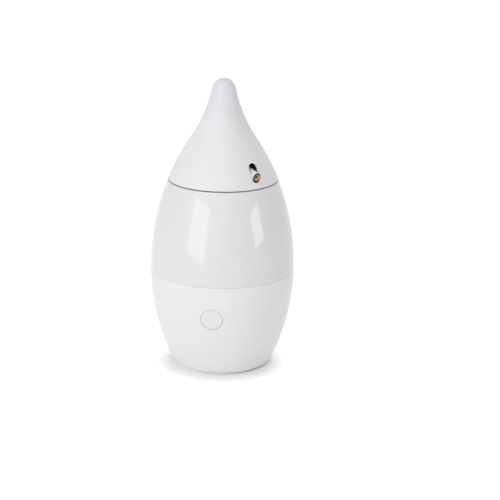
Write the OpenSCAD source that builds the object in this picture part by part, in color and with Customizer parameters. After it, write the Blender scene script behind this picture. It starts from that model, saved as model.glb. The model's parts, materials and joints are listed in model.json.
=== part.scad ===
// Automatic laser toy for cats: a teardrop housing that stands on a flat base.
// Its head turns on a small geared motor and carries two laser modules, one on
// each side, that tilt by hand in upright slots.
// Origin: centre of the footprint, on the floor. +Z is up, the button faces -Y.

/* [Housing] */
// Widest diameter of the housing
body_d = 107; // [103:0.5:112]
// Height from the floor to the tip
body_h = 214; // [210:0.5:220]
// Height of the widest level
belly_z = 74; // [72:0.5:77]
// Diameter of the underside, before its edge is rounded
base_d = 74.7; // [72:0.1:78]
// How far the tip stands above the point where the belly's arc would close
tip_rise = 14.9; // [13:0.1:17]
// Radius of the hollow arc below the tip
neck_arc = 104; // [95:1:115]
// Radius of the round tip
tip_r = 8.7; // [8:0.1:10]
// Wall thickness of the three shells
wall = 2.4; // [2:0.1:2.8]
// Radius of the rounded bottom edge
edge_r = 2.5; // [1.5:0.1:3.2]
// Height of the fine joint line between base and middle shell
join_z = 72.6; // [70:0.2:75]
// Depth of the tongue that locates the middle shell in the base
tongue_h = 3; // [2:0.2:5]
// Thickness of that tongue
tongue_t = 1.2; // [0.8:0.1:1.6]
// Diameter of the housing at the gap under the turning head
head_d = 81; // [80:0.1:83]
// Width of the gap under the turning head
seam_gap = 0.8; // [0.6:0.1:1.2]
// Thickness of the floor of the base
floor_t = 2.4; // [2.2:0.1:3]

/* [Feet] */
// How far the rubber feet stand out of the base
foot_h = 1; // [0.6:0.1:1.5]
// Diameter of a rubber foot
foot_d = 8.4; // [7:0.1:9]
// Distance of the feet from the middle
foot_pos = 30; // [29.6:0.1:30.4]
// Depth of the pockets for the feet
foot_pocket = 0.9; // [0.5:0.1:1.2]

/* [Button] */
// Diameter of the push button
button_d = 15.6; // [14:0.1:17]
// Height of the middle of the button
button_z = 48.1; // [46:0.1:50]
// Gap around the button
button_gap = 0.2; // [0.15:0.01:0.3]
// Travel of the button
button_travel = 0.7; // [0.5:0.05:0.8]
// Thickness of the button's face and skirt
button_t = 1.6; // [1.2:0.1:2]

/* [Laser modules] */
// Direction the first laser faces, turned from the button side
head_angle = 47; // [0:1:359]
// Distance of the tilt axis from the outside of the head
laser_in = 8.2; // [7.8:0.1:8.6]
// Height of the tilt axis above the rim of the head
laser_up = 10.6; // [10:0.1:11.2]
// Outer diameter of the white sleeve
sleeve_d = 6.8; // [6.4:0.1:7.2]
// Diameter of the brass barrel
barrel_d = 6; // [5.6:0.1:6.1]
// Distance from the tilt axis to the front of the barrel
barrel_front = 11.5; // [10.9:0.1:11.9]
// Distance from the tilt axis to the back of the sleeve
sleeve_back = 8.5; // [7:0.5:10]
// How far the barrel stands out of its sleeve
barrel_out = 0.5; // [0.3:0.1:1]
// Tilt below level as shown, in degrees
tilt = 14; // [0:1:15]
// Lowest tilt below level, in degrees
tilt_low = 15; // [15:0.5:17]
// Highest tilt above level, in degrees
tilt_high = 15; // [13:0.5:17]
// Gap between a sleeve and its slot or bracket
slot_gap = 0.3; // [0.2:0.05:0.4]
// Diameter of the tilt pins
pin_d = 3.2; // [2.8:0.1:3.6]
// Thickness of the bracket cheeks
cheek_t = 2; // [1.6:0.1:2.4]

/* [Head drive] */
// Size of the gear teeth
gear_module = 1; // [1:0.05:1.05]
// Room between the ring gear and the wall of the body, for the deck's screws
ring_gap = 6.8; // [6.7:0.1:7.6]
// Teeth of the drive pinion
pinion_teeth = 12; // [11:1:13]
// Play between the teeth
backlash = 0.14; // [0.1:0.01:0.2]
// Width of the ring gear
ring_w = 5.8; // [5.4:0.1:6.2]
// Rim of the ring gear behind its teeth
ring_rim = 1.75; // [1.4:0.05:2]
// Thickness of the plate under the head
plate_t = 2.4; // [2.2:0.1:3]
// Thickness of the deck that carries the drive
deck_t = 2.5; // [2:0.1:3]
// Room between the deck and the ring gear
deck_gap = 0.9; // [0.6:0.1:1.2]
// Diameter of the head's bearing journal
journal_d = 12; // [11:0.1:13]
// Clearance of the turning and tilting bearings, on the radius
run_fit = 0.05; // [0.03:0.01:0.08]
// Diameter of the drive shaft
shaft_d = 3; // [2.5:0.1:3.2]

/* [Batteries] */
// Diameter of a cell
cell_d = 14.5; // [14:0.1:14.5]
// Length of a cell with its nub
cell_h = 50.5; // [49:0.1:50.5]
// Distance between the cells' axes
cell_pitch = 16; // [15.6:0.1:16]
// Wall of the battery box
box_wall = 1.6; // [1.2:0.1:1.8]
// Thickness of the battery door
door_t = 1.6; // [1.2:0.1:1.7]
// Gap around the battery door
door_gap = 0.2; // [0.15:0.05:0.3]

/* [Electronics] */
// Diameter of the main circuit board
board_d = 54; // [48:1:60]
// Thickness of the circuit boards
board_t = 1.6; // [1:0.1:2]
// Height of the posts under the main board
post_h = 4.7; // [4:0.1:6]

/* [Screws] */
// Core diameter of the small screws
screw_d = 1.9; // [1.6:0.1:2]
// Head diameter of the small screws
screw_head = 3.8; // [3.4:0.1:4]
// Head height of the small screws
screw_head_h = 1.3; // [1:0.1:1.4]

/* [Hidden] */
$fa = 4;
$fs = 0.5;

// Colours
white = "#eceef0";
satin = "#e9ebee";
black = "#26272a";
brass = "#c9a45c";
steel = "#b9bcc0";
copper = "#c08a55";
green = "#2f6b46";
rubber = "#3a3b3d";

// Small clearances that more than one piece shares
fit = 0.02;      // pieces that are fixed in each other
loose = 0.15;    // tongues and lids
tiny = 0.01;     // overshoot of a cut

// Outline: a lower and an upper belly arc, both upright at the widest level,
// and a hollow arc that runs into a round tip
base_z = foot_h;
foot_arc = bow((body_d - base_d) / 2, belly_z - base_z);
foot_c = [body_d / 2 - foot_arc, belly_z];
belly_arc = bow(body_d / 2, body_h - tip_rise - belly_z);
belly_c = [body_d / 2 - belly_arc, belly_z];
tip_c = [0, body_h - tip_r];
neck_c = meet(belly_c, belly_arc + neck_arc, tip_c, neck_arc + tip_r);

// Heights
floor_z = base_z + floor_t;
seam_z = hundredth(belly_z + sqrt(pow(belly_arc, 2) - pow(head_d / 2 - belly_c[0], 2)));
mid_top = seam_z - seam_gap / 2;
head_z = seam_z + seam_gap / 2;
plate_top = head_z + plate_t;
ring_z = head_z - ring_w;
deck_z = ring_z - deck_gap;
deck_low = deck_z - deck_t;

// Sizes of hidden pieces and places that follow from the sizes above
plate_gap = 0.25;
pilot_h = 6;
pilot_room = 1;       // empty end of a deep pilot hole
end_room = 0.4;       // how far a short screw ends inside its hole
screw_play = 0.15;    // around the shank in a free hole
head_play = 0.2;      // around a sunk head
head_sink = 0.1;
post_d = 5;
boss_d = 6;
rib_t = 1.6;
corner_r = 3;
bay_play = 0.7;
bay_w = cell_pitch + cell_d + bay_play;
door_over = 3.4;
door_w = bay_w + door_over;
door_rim = 1.5;
door_screw_out = 3;
door_screw_y = door_w / 2 + door_screw_out;
door_boss_h = 6;
roof_t = 1.8;
contact_t = 0.4;
contact_w = 8;
tab_w = 2.4;
nub_d = 5.4;
spring_h = 1.6;
cell_z = base_z + door_t + contact_t + spring_h;
box_top = cell_z + cell_h + contact_t + roof_t;
post_pos = cell_pitch * 0.8;
post_pilot_h = 4;
board_top = box_top + post_h + board_t;
board_flat = board_d * 0.36;
chip_w = 8;
capacitor_d = 5;
capacitor_h = 7;
capacitor_x = 5;
capacitor_y = board_d / 4 + 5;
socket_w = 5;
socket_len = 8;
socket_h = 6;
socket_wall = 0.8;
socket_in = 7;

collar_deep = 3;
collar_wall = 1.4;
collar_in = r_at(button_z + button_d / 2, wall) - collar_deep;
collar_r = button_d / 2 + button_gap + collar_wall;
lip_gap = 0.1;
lip_t = 1.2;
lip_play = 0.3;
stem_d = 5;
plunger_d = 3.4;
plunger_h = 1.4;
switch_w = 6;
switch_h = 3.8;
stem_out = 2;
switch_gap = 0.4;
switch_front = collar_in - lip_gap - lip_t - stem_out;
switch_board_y = switch_front - switch_h - board_t - switch_gap;
switch_board_h = 14;
switch_post_gap = 0.6;
switch_post_x = collar_r + post_d / 2 + switch_post_gap;

deck_play = 0.4;
deck_r = r_at(mid_top, wall) - deck_play;
deck_rib_t = 1.2;
deck_rib_h = 1.2;
deck_screw_in = 4;
deck_screw_r = r_at(mid_top, wall) - deck_screw_in;
deck_screws_at = [60, 180, 300];
deck_boss_h = 15;
head_screw_in = 3.6;
head_screw_r = r_at(plate_top, wall) - head_screw_in;
head_screws_at = [60, 240, 300];
head_screw_len = plate_t - screw_head_h - head_sink + pilot_h - pilot_room;
head_boss_h = 10;

laser_z = head_z + laser_up;
laser_r = hundredth(r_at(laser_z) - laser_in);
cheek_in = sleeve_d / 2 + slot_gap;
leg_w = 6.4;
flange_t = 2;
bracket_screw_in = 1.1;
bracket_rim = 3;
bracket_screw_x = 3;
bracket_screw_y = laser_r - sleeve_back - bracket_screw_in;
bracket_end = bracket_screw_y - bracket_rim;
slot_r = cheek_in;
slot_low = hundredth(laser_z - barrel_front * sin(tilt_low) - sleeve_d / 2 * cos(tilt_low) - slot_gap + slot_r);
slot_high = hundredth(laser_z + barrel_front * sin(tilt_high) + slot_gap - slot_r + sleeve_d / 2);
barrel_back = 4;
barrel_len = barrel_front + barrel_back;
barrel_wall = 0.55;
rim_edge = 0.25;
board_seat = 1.5;
lens_ring_d = 4.5;
lens_ring_t = 0.9;
lens_ring_deep = 0.3;
lens_d = 3.2;
lens_t = 1;
beam_d = 1.5;
driver_w = 4.2;
driver_t = 0.8;
driver_len = 6.5;

pressure_angle = 20;
flank_steps = 4;
tooth_foot = 1.25 * gear_module;
ring_head = 0.6 * gear_module;
ring_room = r_at(mid_top, wall) - ring_gap - ring_rim - tooth_foot;
ring_teeth = 2 * floor(ring_room / gear_module);
ring_pitch = gear_module * ring_teeth / 2;
pinion_pitch = gear_module * pinion_teeth / 2;
gear_distance = ring_pitch - pinion_pitch;
ring_root = ring_pitch + tooth_foot;
ring_outer = ring_root + ring_rim;
pinion_root = pinion_pitch - tooth_foot;
pinion_hub_in = 0.6;
pinion_up = 0.4;
pinion_short = 1.2;
pinion_z = ring_z + pinion_up;
pinion_w = ring_w - pinion_short;
pinion_hub_h = 0.8;

bush_wall = 1.6;
bush_r = journal_d / 2 + bush_wall;
bush_flange = 1;
bush_out = 0.5;
thrust_t = 0.5;
thrust_play = 0.2;
hub_wall = 0.8;
hub_r = bush_r + hub_wall;
shoulder_z = deck_z + bush_flange + thrust_t + run_fit;
journal_out = 0.7;
journal_low = deck_low - journal_out;
washer_t = 1;
washer_over = 1.4;
hub_screw_d = 2.5;
hub_pilot_h = 7;
slip_board_t = 1.2;
slip_board_w = 6;
slip_board_r = hub_r + slip_board_w;
slip_t = 0.2;
slip_track_w = 1.8;
slip_track_in = 1.7;
slip_track_step = 2.8;
slip_track_r = [hub_r + slip_track_in, hub_r + slip_track_in + slip_track_step];
wire_hole_out = 4;
wire_hole_r = slip_board_r + wire_hole_out;
wire_hole_d = 4;
wires_at = 140;
brush_at = 200;
brush_out = 7;
brush_r = hub_r + brush_out;
brush_len = 6;
brush_w = 8;
brush_h = 2.6;
brush_t = 0.3;
brush_strip = 1.2;
brush_gap = 0.1;
brush_tip_r = 0.4;

motor_wide = 12;
motor_flat = 10;
motor_h = 15;
cap_h = 1.5;
gearbox_h = 9;
gearbox_plate = 0.8;
gearbox_low = deck_low - gearbox_h;
gearbox_boss_r = 3.2;
gearbox_boss_h = 0.8;
shaft_in = 6;
shaft_low = deck_low - shaft_in;
shaft_out = 0.6;
clamp_t = 1.6;
clamp_h = 7;
clamp_lug_w = 6;
clamp_screw_out = 2.8;
clamp_screw_y = motor_wide / 2 + clamp_t + clamp_screw_out;

// Radius of an arc that starts upright and comes in by side over a rise
function bow(side, rise) = (side * side + rise * rise) / (2 * side);

// Where two circles meet, on the side away from the axis
function meet(a, ra, b, rb) =
    let (d = norm(b - a), k = (ra * ra - rb * rb + d * d) / (2 * d))
    let (h = sqrt(ra * ra - k * k), u = (b - a) / d)
    a + k * u + h * [u[1], -u[0]];

// Where the belly meets the neck and the neck meets the tip, for a face that
// lies t inside the outer surface
function low_join(t) = belly_c + (belly_arc - t) * (neck_c - belly_c) / norm(neck_c - belly_c);
function high_join(t) = tip_c + (tip_r - t) * (neck_c - tip_c) / norm(neck_c - tip_c);

// Radius of the belly at a height, t inside the outer surface
function r_at(z, t = 0) = z < belly_z
    ? foot_c[0] + sqrt(pow(foot_arc - t, 2) - pow(z - belly_z, 2))
    : belly_c[0] + sqrt(pow(belly_arc - t, 2) - pow(z - belly_z, 2));

function hundredth(x) = round(100 * x) / 100;

function polar(r, a) = [r * cos(a), r * sin(a)];

// ---------------------------------------------------------------- outline
// Flat region inside the belly's two arcs, t inside the surface
module belly(t) {
    intersection() {
        translate(foot_c)
            circle(r = foot_arc - t, $fn = 240);
        translate([-body_d, belly_z - body_h])
            square([2 * body_d, body_h]);
    }
    intersection() {
        translate(belly_c)
            circle(r = belly_arc - t, $fn = 240);
        translate([-body_d, belly_z])
            square([2 * body_d, body_h]);
    }
}

module band(z0, z1) {
    translate([0, z0])
        square([body_d, z1 - z0]);
}

// Flat region of the lower body between two heights, t inside the surface
module belly_region(t, z0, z1) {
    intersection() {
        belly(t);
        band(z0, z1);
    }
}

// Flat region of the whole outline above z0, t inside the surface
module outline_region(t, z0) {
    z1 = hundredth(low_join(t)[1]);
    z2 = hundredth(high_join(t)[1]);
    belly_region(t, z0, z1);
    difference() {
        polygon([[0, z1], [low_join(t)[0] + tip_r, z1], [high_join(t)[0] + tip_r, z2], [0, z2]]);
        translate(neck_c)
            circle(r = neck_arc + t, $fn = 240);
    }
    intersection() {
        translate(tip_c)
            circle(r = tip_r - t, $fn = 120);
        band(z2, body_h);
    }
}

// Solid of the lower body between two heights, t inside the surface
module belly_solid(t, z0, z1) {
    rotate_extrude($fn = 240)
        belly_region(t, z0, z1);
}

// Ring of the lower body's wall between two depths and two heights
module belly_ring(t0, t1, z0, z1) {
    rotate_extrude()
        difference() {
            belly_region(t0, z0, z1);
            belly(t1);
        }
}

// ---------------------------------------------------------------- housing
// A post that stands on the wall side: it stays inside the shell's wall
module inside_wall(z0, z1) {
    intersection() {
        children();
        belly_solid(wall / 2, z0, z1);
    }
}

// Rounded lower corner of the base: everything above and inside a small arc
module rounded_foot() {
    zc = base_z + edge_r;
    xc = r_at(zc, edge_r) + 0.04 * edge_r;
    polygon(concat(
        [[0, base_z]],
        [for (a = [-90 : 10 : -10]) [xc, zc] + edge_r * [cos(a), sin(a)]],
        [[body_d, zc + edge_r], [body_d, join_z], [0, join_z]]));
}

// Places one child for each foot
module at_feet() {
    for (a = [45 : 90 : 315])
        rotate([0, 0, a])
            translate([foot_pos, 0, 0])
                children();
}

module rounded_square(s, r) {
    for (x = [-1, 1], y = [-1, 1])
        translate([x * (s / 2 - r), y * (s / 2 - r)])
            circle(r = r);
    square([s - 2 * r, s], center = true);
    square([s, s - 2 * r], center = true);
}

module base_shell() {
    color(white)
        difference() {
            union() {
                rotate_extrude()
                    difference() {
                        intersection() {
                            belly(0);
                            rounded_foot();
                        }
                        belly_region(wall, floor_z, join_z + 1);
                    }
                // guide collar of the button
                inside_wall(button_z - button_d, button_z + button_d)
                    translate([0, -collar_in, button_z])
                        rotate([90, 0, 0])
                            cylinder(r = collar_r, h = body_d);
                // posts of the switch board
                inside_wall(button_z - button_d, button_z + button_d)
                    for (x = [-1, 1])
                        translate([x * switch_post_x, -switch_board_y, button_z])
                            rotate([90, 0, 0])
                                cylinder(d = post_d, h = body_d);
                // bosses of the door screws
                for (s = [-1, 1])
                    translate([0, s * door_screw_y, floor_z - tiny])
                        cylinder(d = post_d, h = door_boss_h);
            }
            // button hole
            translate([0, 0, button_z])
                rotate([90, 0, 0])
                    cylinder(r = button_d / 2 + button_gap, h = body_d);
            // pilot holes of the switch board
            for (x = [-1, 1])
                translate([x * switch_post_x, -switch_board_y + tiny, button_z])
                    rotate([90, 0, 0])
                        cylinder(d = screw_d + 2 * fit, h = pilot_h);
            // pockets of the feet
            at_feet()
                translate([0, 0, base_z - 1])
                    cylinder(d = foot_d + 2 * fit, h = foot_pocket + 1);
            // recess and opening of the battery door
            translate([0, 0, base_z - 1])
                linear_extrude(door_t + 1)
                    door_outline(door_gap);
            translate([0, 0, base_z])
                linear_extrude(floor_t + 1)
                    rounded_square(bay_w, corner_r);
            for (s = [-1, 1])
                translate([0, s * door_screw_y, base_z])
                    cylinder(d = screw_d + 2 * fit, h = floor_t + door_boss_h - 1);
        }
}

module mid_shell() {
    color(white) {
        difference() {
            union() {
                belly_ring(0, wall, join_z, mid_top);
                // tongue that locates the shell in the base
                belly_ring(wall / 2, wall + loose + tongue_t, join_z, join_z + tongue_t);
                belly_ring(wall + loose, wall + loose + tongue_t, join_z - tongue_h, join_z + tiny);
                // bosses of the drive deck, each on a rib
                inside_wall(deck_low - deck_boss_h, deck_low)
                    for (a = deck_screws_at)
                        rotate([0, 0, a]) {
                            translate([deck_screw_r, 0, deck_low - deck_boss_h])
                                cylinder(d = boss_d, h = deck_boss_h);
                            translate([deck_screw_r, -rib_t / 2, deck_low - deck_boss_h])
                                cube([body_d / 2, rib_t, deck_boss_h]);
                        }
            }
            for (a = deck_screws_at)
                rotate([0, 0, a])
                    translate([deck_screw_r, 0, deck_low - pilot_h])
                        cylinder(d = screw_d + 2 * fit, h = pilot_h + 1);
        }
    }
}

module rubber_feet() {
    color(rubber)
        at_feet() {
            translate([0, 0, base_z])
                cylinder(d = foot_d, h = foot_pocket);
            cylinder(d1 = foot_d - foot_h, d2 = foot_d, h = base_z);
        }
}

module head_shell() {
    color(satin)
        difference() {
            union() {
                rotate_extrude()
                    difference() {
                        outline_region(0, head_z);
                        outline_region(wall, head_z - 1);
                    }
                // bosses of the head screws
                intersection() {
                    on_head(head_screws_at)
                        translate([0, -head_screw_r, plate_top])
                            cylinder(d = boss_d, h = head_boss_h);
                    belly_solid(wall / 2, plate_top, plate_top + head_boss_h);
                }
            }
            // slots of the laser modules
            on_head([0, 180])
                for (z = [slot_low, slot_high])
                    translate([0, 0, z])
                        rotate([90, 0, 0])
                            cylinder(r = slot_r, h = body_d);
            on_head([0, 180])
                translate([-slot_r, -body_d, slot_low])
                    cube([2 * slot_r, body_d, slot_high - slot_low]);
            on_head(head_screws_at)
                translate([0, -head_screw_r, plate_top - 1])
                    cylinder(d = screw_d + 2 * fit, h = pilot_h + 1);
        }
}

// ---------------------------------------------------------------- head
// Turns what is drawn toward -Y to the head's direction, once per angle
module on_head(angles = [0]) {
    for (a = angles)
        rotate([0, 0, head_angle + a])
            children();
}

module head_plate() {
    color(white)
        difference() {
            union() {
                translate([0, 0, head_z])
                    cylinder(r1 = r_at(head_z, wall) - plate_gap, r2 = r_at(plate_top, wall) - plate_gap,
                        h = plate_t);
                translate([0, 0, shoulder_z])
                    cylinder(r = hub_r, h = head_z - shoulder_z + tiny);
                translate([0, 0, journal_low])
                    cylinder(d = journal_d, h = shoulder_z - journal_low + tiny);
            }
            translate([0, 0, journal_low - 1])
                cylinder(d = hub_screw_d + 2 * fit, h = 1 + hub_pilot_h);
            on_head(head_screws_at)
                translate([0, -head_screw_r, head_z - 1]) {
                    cylinder(d = screw_d + 2 * screw_play, h = plate_t + 2);
                    cylinder(d = screw_head + 2 * head_play, h = 1 + screw_head_h + head_sink);
                }
            on_head([0, 180])
                for (x = [-1, 1])
                    translate([x * bracket_screw_x, -bracket_screw_y, head_z - 1])
                        cylinder(d = screw_d + 2 * fit, h = plate_t + 2);
            // passage for the wires of the slip rings
            on_head([90])
                translate([0, -wire_hole_r, head_z - 1])
                    cylinder(d = wire_hole_d, h = plate_t + 2);
        }
}

module ring_gear() {
    color(white)
        translate([0, 0, ring_z])
            rotate([0, 0, head_angle])
                linear_extrude(ring_w)
                    difference() {
                        circle(r = ring_outer, $fn = 120);
                        tooth_outline(ring_teeth, ring_pitch - ring_head, ring_root, backlash / 2);
                    }
}

module slip_ring_board() {
    color(green)
        translate([0, 0, head_z - slip_board_t])
            difference() {
                cylinder(r = slip_board_r, h = slip_board_t);
                translate([0, 0, -1])
                    cylinder(r = hub_r + fit, h = slip_board_t + 2);
                on_head([90])
                    translate([0, -wire_hole_r, -1])
                        cylinder(d = wire_hole_d, h = slip_board_t + 2);
            }
}

module slip_rings() {
    color(brass)
        translate([0, 0, head_z - slip_board_t - slip_t])
            for (r = slip_track_r)
                difference() {
                    cylinder(r = r + slip_track_w / 2, h = slip_t);
                    translate([0, 0, -1])
                        cylinder(r = r - slip_track_w / 2, h = slip_t + 2);
                }
}

module retaining_washer() {
    color(steel)
        translate([0, 0, journal_low - washer_t])
            difference() {
                cylinder(r = bush_r + washer_over, h = washer_t);
                translate([0, 0, -1])
                    cylinder(d = hub_screw_d + 2 * screw_play, h = washer_t + 2);
            }
}

module retaining_screw() {
    color(steel)
        translate([0, 0, journal_low - washer_t])
            screw(hub_screw_d, 2 * hub_screw_d, 0.7 * hub_screw_d, washer_t + hub_pilot_h - pilot_room);
}

module head_screws() {
    color(steel)
        on_head(head_screws_at)
            translate([0, -head_screw_r, head_z + screw_head_h + head_sink])
                screw(screw_d, screw_head, screw_head_h, head_screw_len);
}

// Fork that carries one laser module, drawn toward -Y
module bracket() {
    difference() {
        union() {
            for (s = [0, 1])
                mirror([s, 0, 0])
                    translate([cheek_in, 0, 0])
                        rotate([90, 0, 90])
                            linear_extrude(cheek_t) {
                                translate([-laser_r, laser_z])
                                    circle(r = pin_d / 2 + cheek_t);
                                translate([-laser_r - leg_w / 2, plate_top])
                                    square([leg_w, laser_z - plate_top]);
                            }
            translate([-cheek_in - cheek_t, -laser_r - leg_w / 2, plate_top])
                cube([2 * (cheek_in + cheek_t), leg_w / 2 + laser_r - bracket_end, flange_t]);
        }
        translate([0, -laser_r, laser_z])
            rotate([0, 90, 0])
                cylinder(d = pin_d + 2 * run_fit, h = body_d, center = true);
        for (x = [-1, 1])
            translate([x * bracket_screw_x, -bracket_screw_y, plate_top - 1])
                cylinder(d = screw_d + 2 * screw_play, h = flange_t + 2);
    }
}

module front_bracket() {
    color(black)
        on_head()
            bracket();
}

module rear_bracket() {
    color(black)
        on_head([180])
            bracket();
}

module bracket_screws() {
    color(steel)
        on_head([0, 180])
            for (x = [-1, 1])
                translate([x * bracket_screw_x, -bracket_screw_y, plate_top + flange_t])
                    mirror([0, 0, 1])
                        screw(screw_d, screw_head, screw_head_h, flange_t + plate_t - end_room);
}

// ---------------------------------------------------------------- lasers
// Frame of a laser module: +Z runs along the beam, X along the tilt axis
module on_laser(side) {
    on_head([side])
        translate([0, -laser_r, laser_z])
            rotate([90 + tilt, 0, 0])
                children();
}

module sleeve() {
    difference() {
        union() {
            translate([0, 0, -sleeve_back])
                cylinder(d = sleeve_d, h = sleeve_back + barrel_front - barrel_out);
            rotate([0, 90, 0])
                cylinder(d = pin_d, h = 2 * (cheek_in + cheek_t), center = true);
        }
        translate([0, 0, -body_d])
            cylinder(d = barrel_d + 2 * fit, h = 2 * body_d);
    }
}

module barrel() {
    translate([0, 0, -barrel_back])
        difference() {
            union() {
                cylinder(d = barrel_d, h = barrel_len - rim_edge);
                translate([0, 0, barrel_len - rim_edge - tiny])
                    cylinder(d1 = barrel_d, d2 = barrel_d - 2 * rim_edge, h = rim_edge + tiny);
            }
            // seat of the lens ring, seat of the lens and way of the beam
            translate([0, 0, barrel_len - lens_ring_t - lens_ring_deep])
                cylinder(d = lens_ring_d + 2 * fit, h = lens_ring_t + 1);
            translate([0, 0, barrel_len - lens_ring_t - lens_ring_deep - lens_t])
                cylinder(d = lens_d + 2 * fit, h = lens_ring_t + 1);
            translate([0, 0, board_seat + 2])
                cylinder(d = beam_d, h = barrel_len - board_seat);
            // opening for the driver board
            translate([0, 0, -1])
                cylinder(d = barrel_d - 2 * barrel_wall, h = board_seat + 1);
        }
}

module lens_ring() {
    translate([0, 0, barrel_front - lens_ring_t - lens_ring_deep])
        difference() {
            cylinder(d = lens_ring_d, h = lens_ring_t);
            translate([0, 0, -tiny])
                cylinder(d1 = beam_d, d2 = lens_ring_d - 2 * rim_edge, h = lens_ring_t + 2 * tiny);
        }
}

module lens() {
    translate([0, 0, barrel_front - lens_ring_t - lens_ring_deep - lens_t])
        cylinder(d = lens_d, h = lens_t);
}

module driver_board() {
    translate([-driver_w / 2, -driver_t / 2, -barrel_back + board_seat - driver_len])
        cube([driver_w, driver_t, driver_len]);
}

module front_sleeve() {
    color(white)
        on_laser(0)
            sleeve();
}

module front_barrel() {
    color(brass)
        on_laser(0)
            barrel();
}

module front_lens_ring() {
    color(copper)
        on_laser(0)
            lens_ring();
}

module front_lens() {
    color("darkred")
        on_laser(0)
            lens();
}

module front_driver_board() {
    color(green)
        on_laser(0)
            driver_board();
}

module rear_sleeve() {
    color(white)
        on_laser(180)
            sleeve();
}

module rear_barrel() {
    color(brass)
        on_laser(180)
            barrel();
}

module rear_lens_ring() {
    color(copper)
        on_laser(180)
            lens_ring();
}

module rear_lens() {
    color("darkred")
        on_laser(180)
            lens();
}

module rear_driver_board() {
    color(green)
        on_laser(180)
            driver_board();
}

// ---------------------------------------------------------------- gears
function inv(a) = tan(a) * 180 / PI - a;

// Half the angle of an involute tooth at a radius
function half_tooth(teeth, r, play) =
    let (rp = gear_module * teeth / 2, rb = rp * cos(pressure_angle))
    90 / teeth + play / rp * 90 / PI + inv(pressure_angle) - inv(acos(min(1, rb / r)));

// Outline of a toothed wheel between two radii, centred on a tooth at angle 0
module tooth_outline(teeth, r0, r1, play) {
    radii = [for (i = [0 : flank_steps]) r0 + (r1 - r0) * i / flank_steps];
    polygon([for (k = [0 : teeth - 1]) each concat(
        [for (r = radii) polar(r, 360 * k / teeth - half_tooth(teeth, r, play))],
        [for (i = [flank_steps : -1 : 0])
            polar(radii[i], 360 * k / teeth + half_tooth(teeth, radii[i], play))])]);
}

module output_shaft() {
    color(steel)
        translate([gear_distance, 0, shaft_low])
            cylinder(d = shaft_d, h = pinion_z + pinion_w + shaft_out - shaft_low);
}

module output_pinion() {
    color(white)
        translate([gear_distance, 0, pinion_z])
            rotate([0, 0, head_angle * ring_teeth / pinion_teeth])
                difference() {
                    union() {
                        linear_extrude(pinion_w)
                            tooth_outline(pinion_teeth, pinion_root, pinion_pitch + gear_module,
                                -backlash / 2);
                        translate([0, 0, -pinion_hub_h])
                            cylinder(r = pinion_root - pinion_hub_in, h = pinion_hub_h + tiny);
                    }
                    translate([0, 0, -pinion_hub_h - 1])
                        cylinder(d = shaft_d + 2 * fit, h = pinion_w + pinion_hub_h + 2);
                }
}

// ---------------------------------------------------------------- drive
module screw(d, head_d, head_h, shank) {
    mirror([0, 0, 1])
        cylinder(d = head_d, h = head_h);
    translate([0, 0, -tiny])
        cylinder(d = d, h = shank + tiny);
}

module drive_deck() {
    color(white)
        difference() {
            union() {
                translate([0, 0, deck_low])
                    cylinder(r = deck_r, h = deck_t);
                // raised rib that stiffens the edge
                translate([0, 0, deck_z - tiny])
                    difference() {
                        cylinder(r = deck_r, h = deck_rib_h);
                        translate([0, 0, -1])
                            cylinder(r = deck_r - deck_rib_t, h = deck_rib_h + 2);
                    }
            }
            translate([0, 0, deck_low - 1])
                cylinder(r = bush_r + fit, h = deck_t + 2);
            translate([gear_distance, 0, deck_low - 1])
                cylinder(r = gearbox_boss_r + loose, h = deck_t + 2);
            for (a = deck_screws_at)
                rotate([0, 0, a])
                    translate([deck_screw_r, 0, deck_low - 1])
                        cylinder(d = screw_d + 2 * screw_play, h = deck_t + 2);
            for (s = [-1, 1])
                translate([gear_distance, s * clamp_screw_y, deck_low - 1])
                    cylinder(d = screw_d + 2 * fit, h = deck_t + 2);
            // passage for the wires
            rotate([0, 0, wires_at])
                translate([gear_distance, 0, deck_low - 1])
                    cylinder(d = wire_hole_d, h = deck_t + 2);
        }
}

module deck_screws() {
    color(steel)
        for (a = deck_screws_at)
            rotate([0, 0, a])
                translate([deck_screw_r, 0, deck_z])
                    mirror([0, 0, 1])
                        screw(screw_d, screw_head, screw_head_h, deck_t + pilot_h - pilot_room);
}

module bearing_bush() {
    color(brass)
        difference() {
            union() {
                translate([0, 0, deck_low - bush_out])
                    cylinder(r = bush_r, h = deck_t + bush_out + tiny);
                translate([0, 0, deck_z])
                    cylinder(r = bush_r + bush_flange, h = bush_flange);
            }
            translate([0, 0, deck_low - 2])
                cylinder(r = journal_d / 2 + run_fit, h = deck_t + bush_flange + 3);
        }
}

module thrust_washer() {
    color(steel)
        translate([0, 0, deck_z + bush_flange])
            difference() {
                cylinder(r = hub_r - thrust_play, h = thrust_t);
                translate([0, 0, -1])
                    cylinder(r = journal_d / 2 + thrust_play, h = thrust_t + 2);
            }
}

// Flat-sided round outline of the small motor
module motor_outline(w, d) {
    intersection() {
        circle(d = w);
        square([d, w + 1], center = true);
    }
}

module gearbox() {
    color(brass)
        translate([gear_distance, 0, 0])
            difference() {
                union() {
                    // end plates and the block of wheels between them
                    translate([-motor_flat / 2, -motor_wide / 2, deck_low - gearbox_plate])
                        cube([motor_flat, motor_wide, gearbox_plate]);
                    translate([-motor_flat / 2, -motor_wide / 2, gearbox_low])
                        cube([motor_flat, motor_wide, gearbox_plate]);
                    translate([-motor_flat / 2 + 1, -motor_wide / 2 + 1, gearbox_low + tiny])
                        cube([motor_flat - 2, motor_wide - 2, gearbox_h - 2 * tiny]);
                    translate([0, 0, deck_low - tiny])
                        cylinder(r = gearbox_boss_r, h = gearbox_boss_h + tiny);
                }
                translate([0, 0, shaft_low - run_fit])
                    cylinder(r = shaft_d / 2 + run_fit, h = deck_low - shaft_low + gearbox_boss_h + 1);
            }
}

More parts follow.
